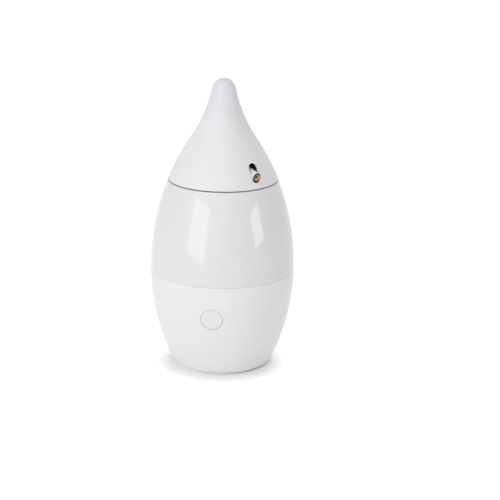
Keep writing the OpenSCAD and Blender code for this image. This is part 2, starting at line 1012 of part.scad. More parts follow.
module motor_can() {
    color(steel)
        translate([gear_distance, 0, gearbox_low - motor_h])
            linear_extrude(motor_h)
                motor_outline(motor_wide, motor_flat);
}

module motor_end_cap() {
    color(black)
        translate([gear_distance, 0, gearbox_low - motor_h - cap_h])
            difference() {
                union() {
                    linear_extrude(cap_h)
                        motor_outline(motor_wide - 1, motor_flat - 1);
                    translate([0, 0, -1])
                        cylinder(d = 3.6, h = 1 + tiny);
                }
                for (s = [-1, 1])
                    translate([-0.8, s * (motor_wide / 2 - 1.7) - 0.25, -1])
                        cube([1.6, 0.5, 1 + cap_h / 2]);
            }
}

module motor_clamp() {
    color(white)
        translate([gear_distance, 0, 0])
            difference() {
                union() {
                    translate([-motor_flat / 2 - clamp_t, -motor_wide / 2 - clamp_t, deck_low - clamp_h])
                        cube([motor_flat + 2 * clamp_t, motor_wide + 2 * clamp_t, clamp_h]);
                    translate([-clamp_lug_w / 2, -clamp_screw_y - clamp_lug_w / 2, deck_low - clamp_t])
                        cube([clamp_lug_w, 2 * clamp_screw_y + clamp_lug_w, clamp_t]);
                }
                translate([-motor_flat / 2 - fit, -motor_wide / 2 - fit, deck_low - clamp_h - 1])
                    cube([motor_flat + 2 * fit, motor_wide + 2 * fit, clamp_h + 2]);
                for (s = [-1, 1])
                    translate([0, s * clamp_screw_y, deck_low - clamp_t - 1])
                        cylinder(d = screw_d + 2 * screw_play, h = clamp_t + 2);
            }
}

module clamp_screws() {
    color(steel)
        for (s = [-1, 1])
            translate([gear_distance, s * clamp_screw_y, deck_low - clamp_t])
                screw(screw_d, screw_head, screw_head_h, clamp_t + deck_t - end_room);
}

module brush_block() {
    color(black)
        rotate([0, 0, brush_at])
            translate([brush_r, -brush_w / 2, deck_z])
                cube([brush_len, brush_w, brush_h]);
}

// One brush from the side: a foot on the block, a rising arm and a round tip
module brush(r) {
    tip = [r, head_z - slip_board_t - slip_t - brush_gap - brush_tip_r];
    heel = [brush_r + 0.5, deck_z + brush_h + brush_t / 2];
    along = (tip - heel) / norm(tip - heel);
    side = [-along[1], along[0]] * brush_t / 2;
    linear_extrude(brush_strip) {
        translate([brush_r, deck_z + brush_h])
            square([brush_len - 1, brush_t]);
        polygon([heel + side, heel - side, tip - side, tip + side]);
        translate(tip)
            circle(r = brush_tip_r);
    }
}

module brush_springs() {
    color(copper)
        rotate([0, 0, brush_at])
            for (i = [0, 1])
                translate([0, (i * 2 - 1) * brush_w / 4 + brush_strip / 2, 0])
                    rotate([90, 0, 0])
                        brush(slip_track_r[i]);
}

// ---------------------------------------------------------------- button
module button_cap() {
    color(white)
        difference() {
            union() {
                intersection() {
                    translate([0, -collar_in + button_travel, button_z])
                        rotate([90, 0, 0])
                            cylinder(d = button_d, h = body_d / 2);
                    belly_solid(0, button_z - button_d, button_z + button_d);
                }
                // lip that stops the button behind its collar
                translate([0, -collar_in + lip_gap + lip_t, button_z])
                    rotate([90, 0, 0])
                        cylinder(r = collar_r - lip_play, h = lip_t);
            }
            // hollow behind the face, which keeps an even thickness
            difference() {
                intersection() {
                    translate([0, 0, button_z])
                        rotate([90, 0, 0])
                            cylinder(d = button_d - 2 * button_t, h = body_d / 2);
                    belly_solid(button_t, button_z - button_d, button_z + button_d);
                }
                translate([0, -switch_front, button_z])
                    rotate([90, 0, 0])
                        cylinder(d = stem_d, h = body_d);
            }
        }
}

module switch_plunger() {
    color(black)
        translate([0, -switch_front + plunger_h, button_z])
            rotate([90, 0, 0])
                cylinder(d = plunger_d, h = plunger_h);
}

module tact_switch() {
    color(black)
        difference() {
            translate([-switch_w / 2, -switch_board_y - board_t - switch_h, button_z - switch_w / 2])
                cube([switch_w, switch_h, switch_w]);
            translate([0, -switch_front + plunger_h + button_travel + 0.1, button_z])
                rotate([90, 0, 0])
                    cylinder(r = plunger_d / 2 + run_fit, h = body_d);
        }
}

module switch_board() {
    color(green)
        difference() {
            translate([-switch_post_x - post_d / 2, -switch_board_y, button_z - switch_board_h / 2])
                cube([2 * switch_post_x + post_d, board_t, switch_board_h]);
            for (x = [-1, 1])
                translate([x * switch_post_x, 0, button_z])
                    rotate([90, 0, 0])
                        cylinder(d = screw_d + 2 * screw_play, h = body_d);
        }
}

module switch_board_screws() {
    color(steel)
        for (x = [-1, 1])
            translate([x * switch_post_x, -switch_board_y + board_t, button_z])
                rotate([90, 0, 0])
                    screw(screw_d, screw_head, screw_head_h, board_t + pilot_h - pilot_room);
}

// ---------------------------------------------------------------- batteries
// Outline of the door: a rounded square with two lugs, grown by g
module door_outline(g) {
    rounded_square(door_w + 2 * g, corner_r + g);
    square([post_d + 2 * g, 2 * door_screw_y], center = true);
    for (s = [-1, 1])
        translate([0, s * door_screw_y])
            circle(d = post_d + 2 * g);
}

module at_cells() {
    for (x = [-1, 1], y = [-1, 1])
        translate([x * cell_pitch / 2, y * cell_pitch / 2, 0])
            children();
}

module battery_box() {
    color(black)
        difference() {
            union() {
                translate([0, 0, floor_z])
                    linear_extrude(box_top - floor_z)
                        rounded_square(bay_w + 2 * box_wall, corner_r);
                translate([0, 0, floor_z])
                    linear_extrude(box_wall)
                        rounded_square(bay_w + 2 * box_wall + 1, corner_r);
                at_posts()
                    translate([0, 0, box_top - tiny])
                        cylinder(d = post_d, h = post_h + tiny);
            }
            translate([0, 0, floor_z - 1])
                linear_extrude(box_top - roof_t - floor_z + 1)
                    rounded_square(bay_w, corner_r - 0.5);
            at_posts()
                translate([0, 0, box_top + post_h - post_pilot_h])
                    cylinder(d = screw_d + 2 * fit, h = post_pilot_h + 1);
            for (y = [-1, 1])
                translate([-cell_pitch / 2, y * cell_pitch / 2, box_top - roof_t - 1])
                    linear_extrude(roof_t + 2)
                        square([tab_w + 0.2, contact_t + 0.2], center = true);
        }
}

module at_posts() {
    for (x = [-1, 1], y = [-1, 1])
        translate([x * post_pos, y * post_pos, 0])
            children();
}

// One round cell; its nub points up or down
module cell(up) {
    z = up ? cell_z : cell_z + cell_h;
    translate([0, 0, z])
        mirror([0, 0, up ? 0 : 1])
            rotate_extrude()
                polygon([[0, 0], [cell_d / 2 - 1, 0], [cell_d / 2, 0.6], [cell_d / 2, cell_h - 1.8],
                    [cell_d / 2 - 0.8, cell_h - 1.2], [nub_d / 2, cell_h - 1.2], [nub_d / 2, cell_h],
                    [0, cell_h]]);
}

module cell_at(x, y, up) {
    color("dimgray")
        translate([x * cell_pitch / 2, y * cell_pitch / 2, 0])
            cell(up);
}

module battery_cell_1() {
    cell_at(-1, -1, true);
}

module battery_cell_2() {
    cell_at(1, -1, false);
}

module battery_cell_3() {
    cell_at(1, 1, true);
}

module battery_cell_4() {
    cell_at(-1, 1, false);
}

module top_contacts() {
    color(steel)
        translate([0, 0, cell_z + cell_h]) {
            // a bridge between two cells and a plate with a tab on each other
            translate([cell_pitch / 2, 0, 0])
                linear_extrude(contact_t)
                    square([contact_w, cell_pitch + contact_w], center = true);
            for (y = [-1, 1])
                translate([-cell_pitch / 2, y * cell_pitch / 2, 0]) {
                    linear_extrude(contact_t)
                        square([contact_w, contact_w], center = true);
                    linear_extrude(contact_t + roof_t + 1.5)
                        square([tab_w, contact_t], center = true);
                }
        }
}

module battery_door() {
    color(white)
        difference() {
            union() {
                translate([0, 0, base_z])
                    linear_extrude(door_t)
                        door_outline(0);
                // rim that locates the door in the opening
                translate([0, 0, base_z + door_t - tiny])
                    linear_extrude(door_rim + tiny)
                        rounded_square(bay_w - 2 * door_gap, corner_r - 0.5);
            }
            translate([0, 0, base_z + door_t])
                linear_extrude(door_rim + 1)
                    rounded_square(bay_w - 2 * door_gap - 2 * box_wall, corner_r - 1);
            for (s = [-1, 1])
                translate([0, s * door_screw_y, base_z - 1]) {
                    cylinder(d = screw_d + 2 * screw_play, h = door_t + 2);
                    cylinder(d1 = screw_head + 2.2, d2 = screw_head + 0.2 - 1.8, h = 2);
                }
            // finger groove
            translate([0, -bay_w / 4, base_z - 1])
                linear_extrude(1.5)
                    rounded_square(6, 1);
        }
}

module door_contacts() {
    color(steel)
        for (y = [-1, 1])
            translate([0, y * cell_pitch / 2, base_z + door_t]) {
                linear_extrude(contact_t)
                    square([cell_pitch + contact_w, contact_w], center = true);
                for (x = [-1, 1])
                    translate([x * cell_pitch / 2, 0, contact_t - tiny])
                        cylinder(d1 = contact_w, d2 = nub_d - 1, h = spring_h + tiny);
            }
}

module door_screws() {
    color(steel)
        for (s = [-1, 1])
            translate([0, s * door_screw_y, base_z]) {
                translate([0, 0, 0.1])
                    cylinder(d1 = screw_head, d2 = screw_d, h = (screw_head - screw_d) / 2);
                translate([0, 0, 0.2])
                    cylinder(d = screw_d, h = floor_t + door_boss_h - 2);
            }
}

// ---------------------------------------------------------------- boards
module main_board() {
    color(green)
        translate([0, 0, box_top + post_h])
            difference() {
                cylinder(d = board_d, h = board_t);
                at_posts()
                    translate([0, 0, -1])
                        cylinder(d = screw_d + 2 * screw_play, h = board_t + 2);
                // flat edge beside the switch board
                translate([-board_d / 2, -board_d - board_flat, -1])
                    cube([board_d, board_d, board_t + 2]);
            }
}

module board_screws() {
    color(steel)
        at_posts()
            translate([0, 0, box_top + post_h + board_t])
                mirror([0, 0, 1])
                    screw(screw_d, screw_head, screw_head_h, board_t + post_pilot_h - end_room);
}

module controller_chip() {
    color(black)
        translate([-chip_w / 2, -chip_w, board_top])
            cube([chip_w, 1.6 * chip_w, 1.5]);
}

module board_parts() {
    // two capacitors and two wire connectors
    color("dimgray")
        for (x = [-1, 1])
            translate([x * capacitor_x, capacitor_y, board_top])
                cylinder(d = capacitor_d, h = capacitor_h);
    color(white)
        for (s = [-1, 1])
            translate([s * (board_d / 2 - socket_in) - socket_w / 2, -socket_len / 2, board_top])
                difference() {
                    cube([socket_w, socket_len, socket_h]);
                    translate([socket_wall, socket_wall, socket_wall])
                        cube([socket_w - 2 * socket_wall, socket_len - 2 * socket_wall, socket_h]);
                }
}

base_shell();
mid_shell();
rubber_feet();
battery_box();
battery_cell_1();
battery_cell_2();
battery_cell_3();
battery_cell_4();
top_contacts();
main_board();
board_screws();
controller_chip();
board_parts();
switch_board();
switch_board_screws();
tact_switch();
drive_deck();
deck_screws();
bearing_bush();
thrust_washer();
gearbox();
motor_can();
motor_end_cap();
motor_clamp();
clamp_screws();
brush_block();
brush_springs();
head_shell();
head_plate();
head_screws();
ring_gear();
slip_ring_board();
slip_rings();
retaining_washer();
retaining_screw();
front_bracket();
rear_bracket();
bracket_screws();
output_shaft();
output_pinion();
front_sleeve();
front_barrel();
front_lens_ring();
front_lens();
front_driver_board();
rear_sleeve();
rear_barrel();
rear_lens_ring();
rear_lens();
rear_driver_board();
button_cap();
switch_plunger();
battery_door();
door_contacts();
door_screws();
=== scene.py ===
# %% [markdown]
# # A laser toy for cats
# A white teardrop that stands on a flat foot. Its head turns on a motor and carries two small
# laser modules in upright slots. The measured model comes in as a fixed frame, and this lesson
# dresses it: turned shells, moulded plastic, turned brass, rubber, and a plain studio.

# %% Load the measured model
import json
import math

import bpy
from mathutils import Matrix, Vector


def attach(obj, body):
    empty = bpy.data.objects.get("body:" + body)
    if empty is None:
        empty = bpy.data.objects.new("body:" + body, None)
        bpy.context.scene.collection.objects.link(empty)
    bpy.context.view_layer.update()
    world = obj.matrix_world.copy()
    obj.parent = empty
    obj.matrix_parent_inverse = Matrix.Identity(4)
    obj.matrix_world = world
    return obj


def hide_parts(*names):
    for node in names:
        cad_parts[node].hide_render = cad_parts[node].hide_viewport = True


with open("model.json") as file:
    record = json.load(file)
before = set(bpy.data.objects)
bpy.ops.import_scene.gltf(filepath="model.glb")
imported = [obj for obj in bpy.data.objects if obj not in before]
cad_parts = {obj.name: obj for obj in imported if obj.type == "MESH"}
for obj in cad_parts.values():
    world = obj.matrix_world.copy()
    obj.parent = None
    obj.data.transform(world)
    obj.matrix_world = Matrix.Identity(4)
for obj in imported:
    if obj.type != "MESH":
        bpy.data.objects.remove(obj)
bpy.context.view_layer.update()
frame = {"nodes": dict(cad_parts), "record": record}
nodes = frame["nodes"]
MM = 0.001

# %% [markdown]
# ## The outline
# Seen from the side, the toy is four arcs that run into each other: a lower and an upper belly
# arc, both upright at the widest level, then a hollow neck and a small round tip. A curve drawn
# by eye through a few points would do for one piece. All shells share this outline, though, so
# it is worked out once, as arcs. The inner face of a wall uses the same centres with other
# radii, which keeps the wall even.

# %% Sizes of the outline, in metres
WIDEST, BELLY_Z = 53.5 * MM, 74 * MM
HEIGHT, TIP_R, NECK_R = 214 * MM, 8.7 * MM, 104 * MM
FOOT_Z, FOOT_R = 1 * MM, 37.35 * MM
TIP_RISE = 14.9 * MM


def bow(side, rise):
    """Radius of an arc that starts upright and comes in by side over a rise."""
    return (side * side + rise * rise) / (2 * side)


lower_r = bow(WIDEST - FOOT_R, BELLY_Z - FOOT_Z)
upper_r = bow(WIDEST, HEIGHT - TIP_RISE - BELLY_Z)
lower_x, upper_x = WIDEST - lower_r, WIDEST - upper_r
tip_z = HEIGHT - TIP_R
print("belly arcs of", round(lower_r, 4), "and", round(upper_r, 4))


# %% Where the neck meets the belly
def neck_centre():
    """The centre of the neck's arc, which touches belly and tip, and where it leaves the belly."""
    belly, tip = Vector((upper_x, BELLY_Z)), Vector((0, tip_z))
    belly_reach, tip_reach = upper_r + NECK_R, NECK_R + TIP_R
    way = tip - belly
    along = (belly_reach ** 2 - tip_reach ** 2 + way.length_squared) / (2 * way.length)
    ahead = way.normalized()
    aside = math.sqrt(belly_reach ** 2 - along * along)
    centre = belly + ahead * along + Vector((ahead.y, -ahead.x)) * aside
    return centre, belly + (centre - belly).normalized() * upper_r


neck, neck_join = neck_centre()
print("the belly meets the neck at", round(neck_join.y, 4))


# %% Points along the outline
WALL_STEP, INNER_STEP = 1.2 * MM, 3 * MM


def outline(z, inside=0.0):
    """Radius of the outline at a height, for a face that lies a little inside it."""
    if z <= BELLY_Z:
        return lower_x + math.sqrt((lower_r - inside) ** 2 - (z - BELLY_Z) ** 2)
    if z <= neck_join.y - inside * (neck_join.y - BELLY_Z) / upper_r:
        return upper_x + math.sqrt((upper_r - inside) ** 2 - (z - BELLY_Z) ** 2)
    if z <= tip_z:
        return neck.x - math.sqrt((NECK_R + inside) ** 2 - (z - neck.y) ** 2)
    return math.sqrt(max((TIP_R - inside) ** 2 - (z - tip_z) ** 2, 0.0))


def arc(centre, radius, start, end, count):
    """Points on a circle, from one angle to another, in degrees."""
    turns = [math.radians(start + (end - start) * k / count) for k in range(count + 1)]
    return [(centre[0] + radius * math.cos(t), centre[1] + radius * math.sin(t)) for t in turns]


def wall_line(z0, z1, inside, step=WALL_STEP):
    """Points along the wall from z0 to z1, evenly spaced."""
    count = max(1, round(abs(z1 - z0) / step))
    heights = [z0 + (z1 - z0) * k / count for k in range(count + 1)]
    return [(outline(z, inside), z) for z in heights]


print("the foot is", round(2 * outline(FOOT_Z), 4), "m across")

# %% [markdown]
# ## A lathe
# The shells, the feet and the laser barrels are round, so each starts as a half profile that is
# spun about an axis, as on a lathe. A stretched cylinder could not follow the outline. One
# vertex is extruded from point to point, and Spin sweeps the line round. Doubles at the seam
# and at the poles are merged, and only then are the normals turned outwards, because Spin may
# leave them either way.

# %% Select one piece at a time
def pick_none():
    """Nothing is selected: the loaded nodes come in selected, and an operator acts on all."""
    if bpy.context.object and bpy.context.object.mode != "OBJECT":
        bpy.ops.object.mode_set(mode="OBJECT")
    bpy.ops.object.select_all(action="DESELECT")


def pick(piece):
    """Only this piece is selected, and it is the active one."""
    pick_none()
    piece.select_set(True)
    bpy.context.view_layer.objects.active = piece


pick_none()
print("selected:", len(bpy.context.selected_objects))

# %% Spin a profile
LINE_MERGE, SKIN_MERGE = 1e-7, 2e-6


def lathe(name, profile, steps):
    """Spins a closed profile of (radius, height) points about the upright axis."""
    pick_none()
    bpy.ops.mesh.primitive_plane_add(size=2 * MM)
    piece = bpy.context.object
    piece.name = piece.data.name = name
    bpy.ops.object.mode_set(mode="EDIT")
    bpy.ops.mesh.select_mode(type="VERT")
    bpy.ops.mesh.select_all(action="SELECT")
    bpy.ops.mesh.merge(type="CENTER")
    here = Vector((profile[0][0], 0, profile[0][1]))
    bpy.ops.transform.translate(value=here)
    for radius, height in profile[1:]:
        there = Vector((radius, 0, height))
        bpy.ops.mesh.extrude_region_move(TRANSFORM_OT_translate={"value": there - here})
        here = there
    bpy.ops.mesh.select_all(action="SELECT")
    bpy.ops.mesh.remove_doubles(threshold=LINE_MERGE)
    bpy.ops.mesh.select_all(action="SELECT")
    bpy.ops.mesh.spin(steps=steps, angle=2 * math.pi, center=(0, 0, 0), axis=(0, 0, 1))
    bpy.ops.mesh.select_all(action="SELECT")
    bpy.ops.mesh.remove_doubles(threshold=SKIN_MERGE)
    bpy.ops.mesh.select_all(action="SELECT")
    bpy.ops.mesh.normals_make_consistent(inside=False)
    bpy.ops.object.mode_set(mode="OBJECT")
    return piece


print("the lathe is ready, and merges within", SKIN_MERGE, "m")

# %% [markdown]
# ## The base body
# The lowest shell is a cup with a rounded foot. Its rim meets the middle body in a fine line,
# and both rims have a small radius there, which is what draws the dark line on the real toy. A
# bevel could round the rim afterwards, but points on the profile give it even rows of faces.
# The profile goes from the axis along the underside, up the outside, over the rim and back
# inside.

# %% Spin the base body
JOIN_Z, WALL, FLOOR_T = 72.6 * MM, 2.4 * MM, 2.4 * MM
EDGE_R, RIM_R, JOINT_RIM = 2.5 * MM, 0.3 * MM, 0.45 * MM
FOOT_SEGMENTS, RIM_SEGMENTS, SHELL_STEPS = 8, 4, 192


def rim(radius, z, side, size=RIM_R):
    """A rounded rim: side is +1 for a top rim and -1 for a bottom rim."""
    return arc((radius - size, z - side * size), size, 0, 90 * side, RIM_SEGMENTS)


foot_centre = (outline(FOOT_Z + EDGE_R, EDGE_R), FOOT_Z + EDGE_R)
foot_end = math.degrees(math.atan2(foot_centre[1] - BELLY_Z, foot_centre[0] - lower_x))
foot_curve = arc(foot_centre, EDGE_R, -90, foot_end, FOOT_SEGMENTS)
base_top = JOIN_Z - JOINT_RIM
base_profile = [(0, FOOT_Z), (foot_centre[0] / 2, FOOT_Z)] + foot_curve
base_profile += wall_line(foot_curve[-1][1], base_top, 0)[1:-1]
base_profile += rim(outline(base_top), JOIN_Z, 1, JOINT_RIM)
base_profile += wall_line(JOIN_Z, FOOT_Z + FLOOR_T, WALL, INNER_STEP)
base_profile += [(0, FOOT_Z + FLOOR_T)]
base_body = lathe("base_body", base_profile, SHELL_STEPS)
print("base body spun from", len(base_profile), "points")

# %% [markdown]
# The button sits in a round hole with a guide collar behind it, and the underside has pockets
# for the feet and a recess with an opening for the battery door. Insets could draw these on the
# faces, but the holes are exact and the wall is curved, so they are boolean cuts, each with a
# plain tool of the measured size.

# %% Tools for cutting
CORNER_SEGMENTS = 8
LEVEL_CHANGE = 1e-6


def rod(name, radius, start, end, sides):
    """A plain round tool for cutting, from one point to another."""
    pick_none()
    start, end = Vector(start), Vector(end)
    bpy.ops.mesh.primitive_cylinder_add(vertices=sides, radius=radius, depth=(end - start).length)
    tool = bpy.context.object
    tool.name = name
    turn = (end - start).to_track_quat("Z", "Y").to_matrix().to_4x4()
    tool.matrix_world = Matrix.Translation((start + end) / 2) @ turn
    bpy.ops.object.transform_apply(location=True, rotation=True, scale=True)
    return tool


def select_edges(piece, wanted):
    """Enters edit mode with those edges selected for which wanted(start, end) is true."""
    pick(piece)
    bpy.ops.object.mode_set(mode="EDIT")
    bpy.ops.mesh.select_mode(type="EDGE")
    bpy.ops.mesh.select_all(action="DESELECT")
    bpy.ops.object.mode_set(mode="OBJECT")
    points = piece.data.vertices
    for edge in piece.data.edges:
        a, b = points[edge.vertices[0]].co, points[edge.vertices[1]].co
        edge.select = bool(wanted(a, b))
    bpy.ops.object.mode_set(mode="EDIT")


def plate(name, low, high, corner=0.0):
    """A box tool between two corners, with its upright edges rounded."""
    pick_none()
    low, high = Vector(low), Vector(high)
    bpy.ops.mesh.primitive_cube_add(size=1, location=(low + high) / 2, scale=high - low)
    tool = bpy.context.object
    tool.name = name
    bpy.ops.object.transform_apply(location=True, rotation=True, scale=True)
    if corner:
        select_edges(tool, lambda a, b: abs(a.z - b.z) > LEVEL_CHANGE)
        bpy.ops.mesh.bevel(offset=corner, segments=CORNER_SEGMENTS, affect="EDGES")
        bpy.ops.object.mode_set(mode="OBJECT")
    return tool


print("cutting tools: rod and plate")


# %% Cut, join and copy
def combine(piece, tool, operation="DIFFERENCE"):
    """Cuts the tool out of the piece, or joins it on, and removes the tool."""
    pick(piece)
    modifier = piece.modifiers.new("combine", "BOOLEAN")
    modifier.operation = operation
    modifier.solver = "EXACT"
    modifier.object = tool
    bpy.ops.object.modifier_apply(modifier=modifier.name)
    bpy.data.objects.remove(tool)


def twin(piece, name):
    """A copy with its own mesh."""
    pick(piece)
    bpy.ops.object.duplicate(linked=False)
    copy = bpy.context.object
    copy.name = copy.data.name = name
    return copy


button_guide = twin(base_body, "button_guide")
print("an uncut copy is kept as", button_guide.name)

# %% [markdown]
# The collar must not show outside. A rod that ended within the curved wall would need a curved
# end, so a longer one is first trimmed by a core, which is the inside of the shell grown to the
# middle of the wall.

# %% Add the collar and cut the button hole
BUTTON_Z, BUTTON_R, BUTTON_GAP = 48.1 * MM, 7.8 * MM, 0.2 * MM
COLLAR_IN, COLLAR_R = 47.14 * MM, 9.4 * MM
CORE_FROM, HOLE_IN, HOLE_OUT = 20 * MM, 40 * MM, 60 * MM
PART_STEPS = 96

core_line = wall_line(CORE_FROM, JOIN_Z, WALL / 2)
core = lathe("core", [(0, CORE_FROM)] + core_line + [(0, JOIN_Z)], PART_STEPS)
collar_ends = (0, -COLLAR_IN, BUTTON_Z), (0, -HOLE_OUT, BUTTON_Z)
collar = rod("collar", COLLAR_R, *collar_ends, PART_STEPS)
combine(collar, core, "INTERSECT")
combine(base_body, collar, "UNION")
hole_ends = (0, -HOLE_IN, BUTTON_Z), (0, -HOLE_OUT, BUTTON_Z)
combine(base_body, rod("hole", BUTTON_R + BUTTON_GAP, *hole_ends, PART_STEPS))
print("button hole of", 2 * (BUTTON_R + BUTTON_GAP), "m cut")

# %% Cut the foot pockets
FOOT_AT, PAD_R, PAD_GAP, POCKET = 30 * MM, 4.2 * MM, 0.05 * MM, 0.9 * MM
HOLE_STEPS = 48
foot_angles = [45 + 90 * k for k in range(4)]
for angle in foot_angles:
    x, y = FOOT_AT * math.cos(math.radians(angle)), FOOT_AT * math.sin(math.radians(angle))
    pocket_ends = (x, y, 0), (x, y, FOOT_Z + POCKET)
    combine(base_body, rod("pocket", PAD_R + PAD_GAP, *pocket_ends, HOLE_STEPS))
print("pockets cut at", foot_angles)

# %% Cut the door recess and the battery opening
DOOR_W, DOOR_T, DOOR_GAP = 34.6 * MM, 1.6 * MM, 0.2 * MM
BAY_W, BAY_TOP = 31.2 * MM, 6 * MM
RECESS_CORNER, BAY_CORNER = 3.2 * MM, 3 * MM
LUG_R, DOOR_SCREW_Y = 2.5 * MM, 20.3 * MM

half, bay_half = DOOR_W / 2 + DOOR_GAP, BAY_W / 2
recess_top = FOOT_Z + DOOR_T
combine(base_body, plate("recess", (-half, -half, 0), (half, half, recess_top), RECESS_CORNER))
lug = LUG_R + DOOR_GAP
for side in (-1, 1):
    y = side * DOOR_SCREW_Y
    low, high = sorted((0.0, y))
    combine(base_body, plate("lug", (-lug, low, 0), (lug, high, recess_top)))
    combine(base_body, rod("lug_end", lug, (0, y, 0), (0, y, recess_top), HOLE_STEPS))
bay_low, bay_high = (-bay_half, -bay_half, 0), (bay_half, bay_half, BAY_TOP)
combine(base_body, plate("bay", bay_low, bay_high, BAY_CORNER))
print("base body has", len(base_body.data.polygons), "faces")

# %% [markdown]
# A turned piece shows its facets until it is smoothed. Smoothing everything would round the
# corners away too, so only faces that meet at a low angle are blended. The piece is then hung
# on the body that it moves with, and takes the place of the measured node that it was made for.

# %% Finish the base body
SMOOTH_ANGLE = math.radians(32)


def finish(piece, body, slot, *stands_for):
    """Smooths the piece, hangs it on its body and hides the nodes that it stands for."""
    pick(piece)
    bpy.ops.object.shade_smooth_by_angle(angle=SMOOTH_ANGLE)
    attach(piece, body)
    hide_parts(*stands_for)
    faces = len(piece.data.polygons)
    print(piece.name, "has", faces, "faces and rides on", body)


finish(base_body, "base", "shell_white", "base_shell")

# %% [markdown]
# ## The middle body
# A plain ring of wall with a rounded rim above and below. It is the glossiest piece. A
# subdivided ring would bulge between its rows, so it is spun straight from the outline, and it
# has the finest rows of faces: a mirror-like finish shows every facet.

# %% Spin the middle body
MIDDLE_TOP, FINE_STEP = 139.4 * MM, 1 * MM
low_rim, high_rim = JOIN_Z + JOINT_RIM, MIDDLE_TOP - RIM_R
middle_profile = wall_line(low_rim, high_rim, 0, FINE_STEP)[1:-1]
middle_profile += rim(outline(high_rim), MIDDLE_TOP, 1)
middle_profile += wall_line(MIDDLE_TOP, JOIN_Z, WALL, INNER_STEP)
middle_profile += rim(outline(low_rim), JOIN_Z, -1, JOINT_RIM)[::-1]
middle_profile += [middle_profile[0]]
middle_body = lathe("middle_body", middle_profile, SHELL_STEPS)
finish(middle_body, "base", "shell_white", "mid_shell")

# %% [markdown]
# ## The head
# The turning head is a hollow drop. Its tip is closed by two arcs that end on the axis, one for
# the outer face and one for the inner, where the lathe merges each ring into a single pole.

# %% Spin the head
HEAD_Z, TIP_SEGMENTS, INNER_TIP_SEGMENTS = 140.2 * MM, 16, 8
head_low = HEAD_Z + RIM_R
head_profile = wall_line(head_low, tip_z, 0)[1:]
head_profile += arc((0, tip_z), TIP_R, 0, 90, TIP_SEGMENTS)[1:]
head_profile[-1] = (0, HEIGHT)
head_profile += [(0, HEIGHT - WALL)]
head_profile += arc((0, tip_z), TIP_R - WALL, 90, 0, INNER_TIP_SEGMENTS)[1:]
head_profile += wall_line(tip_z, HEAD_Z, WALL, INNER_STEP)[1:]
head_profile += rim(outline(head_low), HEAD_Z, -1)[::-1]
head_profile += [head_profile[0]]
head = lathe("head", head_profile, SHELL_STEPS)
print("head spun from", len(head_profile), "points")

# %% [markdown]
# Two upright slots, one on each side, let the laser modules look out. A slot is a little wider
# than a module and round at both ends. A box and two rods would leave seams where they touch, so
# its tool is one round bar whose upper half is pulled up, pointed the way the module faces.
# First the wall round the slot is thinned from inside by a wider bar, trimmed by a core that
# ends just under the outer face, so that the eye meets a thin lip and the dark behind it.

# %% Shape the slot's tool
HEAD_TURN = 47
SLOT_R, SLOT_LOW, SLOT_HIGH = 3.7 * MM, 147.94 * MM, 153.78 * MM
BAR_IN, BAR_OUT, BAR_SIDES = 20 * MM, 50 * MM, 66


def place(piece, matrix):
    """Moves the mesh, so that the object itself stays at the origin, unturned."""
    pick(piece)
    piece.matrix_world = matrix
    bpy.context.view_layer.update()
    bpy.ops.object.transform_apply(location=True, rotation=True, scale=True)


def slot_tool(angle, radius):
    """A bar as high as the slot, with round ends, that points the way a module faces."""
    bar = rod("slot_bar", radius, (0, -BAR_OUT, SLOT_LOW), (0, -BAR_IN, SLOT_LOW), BAR_SIDES)
    select_edges(bar, lambda a, b: min(a.z, b.z) > SLOT_LOW)
    bpy.ops.transform.translate(value=(0, 0, SLOT_HIGH - SLOT_LOW))
    bpy.ops.object.mode_set(mode="OBJECT")
    place(bar, Matrix.Rotation(math.radians(angle), 4, "Z"))
    return bar


print("a slot is", round((SLOT_HIGH - SLOT_LOW + 2 * SLOT_R) / MM, 2), "mm high")

# %% Cut the slots
SLOT_LIP, SLOT_RELIEF = 0.9 * MM, 1.5 * MM
CORE_LOW, CORE_HIGH = 141.1 * MM, 162 * MM
ENDS = (("front", HEAD_TURN), ("rear", HEAD_TURN + 180))
core_line = wall_line(CORE_LOW, CORE_HIGH, SLOT_LIP)
for end, angle in ENDS:
    relief_bar = slot_tool(angle, SLOT_R + SLOT_RELIEF)
    core = lathe("core", [(0, CORE_LOW)] + core_line + [(0, CORE_HIGH)], SHELL_STEPS)
    combine(relief_bar, core, "INTERSECT")
    combine(head, relief_bar)
    combine(head, slot_tool(angle, SLOT_R))
finish(head, "head", "head_white", "head_shell")

# %% [markdown]
# ## The button
# The button is a round cap whose face follows the curve of the body, so that it lies flush. A
# disc cut out of the body would have the body's uneven faces, so it is turned with a flat face
# of many rings instead. Behind the face it is hollow, with a lip that stops it behind the
# collar and a stem that reaches the plunger of the switch.

# %% Turn the button
LIP_R, LIP_T, LIP_GAP = 9.1 * MM, 1.2 * MM, 0.1 * MM
STEM_R, STEM_END = 1.6 * MM, 43.84 * MM
HOLLOW_R, HOLLOW_END = 6.2 * MM, 48.4 * MM
FACE_AT, FACE_RINGS = 52 * MM, 10
lip_back = COLLAR_IN - LIP_GAP - LIP_T
lip_front = lip_back + LIP_T
button_profile = [(0, STEM_END), (STEM_R, STEM_END), (STEM_R, HOLLOW_END)]
button_profile += [(HOLLOW_R, HOLLOW_END), (HOLLOW_R, lip_back), (LIP_R, lip_back)]
button_profile += [(LIP_R, lip_front), (BUTTON_R, lip_front)]
button_profile += [(BUTTON_R * (1 - k / FACE_RINGS), FACE_AT) for k in range(FACE_RINGS + 1)]
button = lathe("button", button_profile, PART_STEPS)
lay_down = Matrix.Rotation(math.radians(90), 4, "X")
place(button, Matrix.Translation((0, 0, BUTTON_Z)) @ lay_down)
print("button turned, with", len(button.data.polygons), "faces")

# %% [markdown]
# Shrinkwrap then presses the rings of the face onto the uncut body that was kept as a guide.
# Proportional editing could bend the face too, but only by guess. The rim is bevelled a little
# afterwards, which makes the fine shadow round the button.

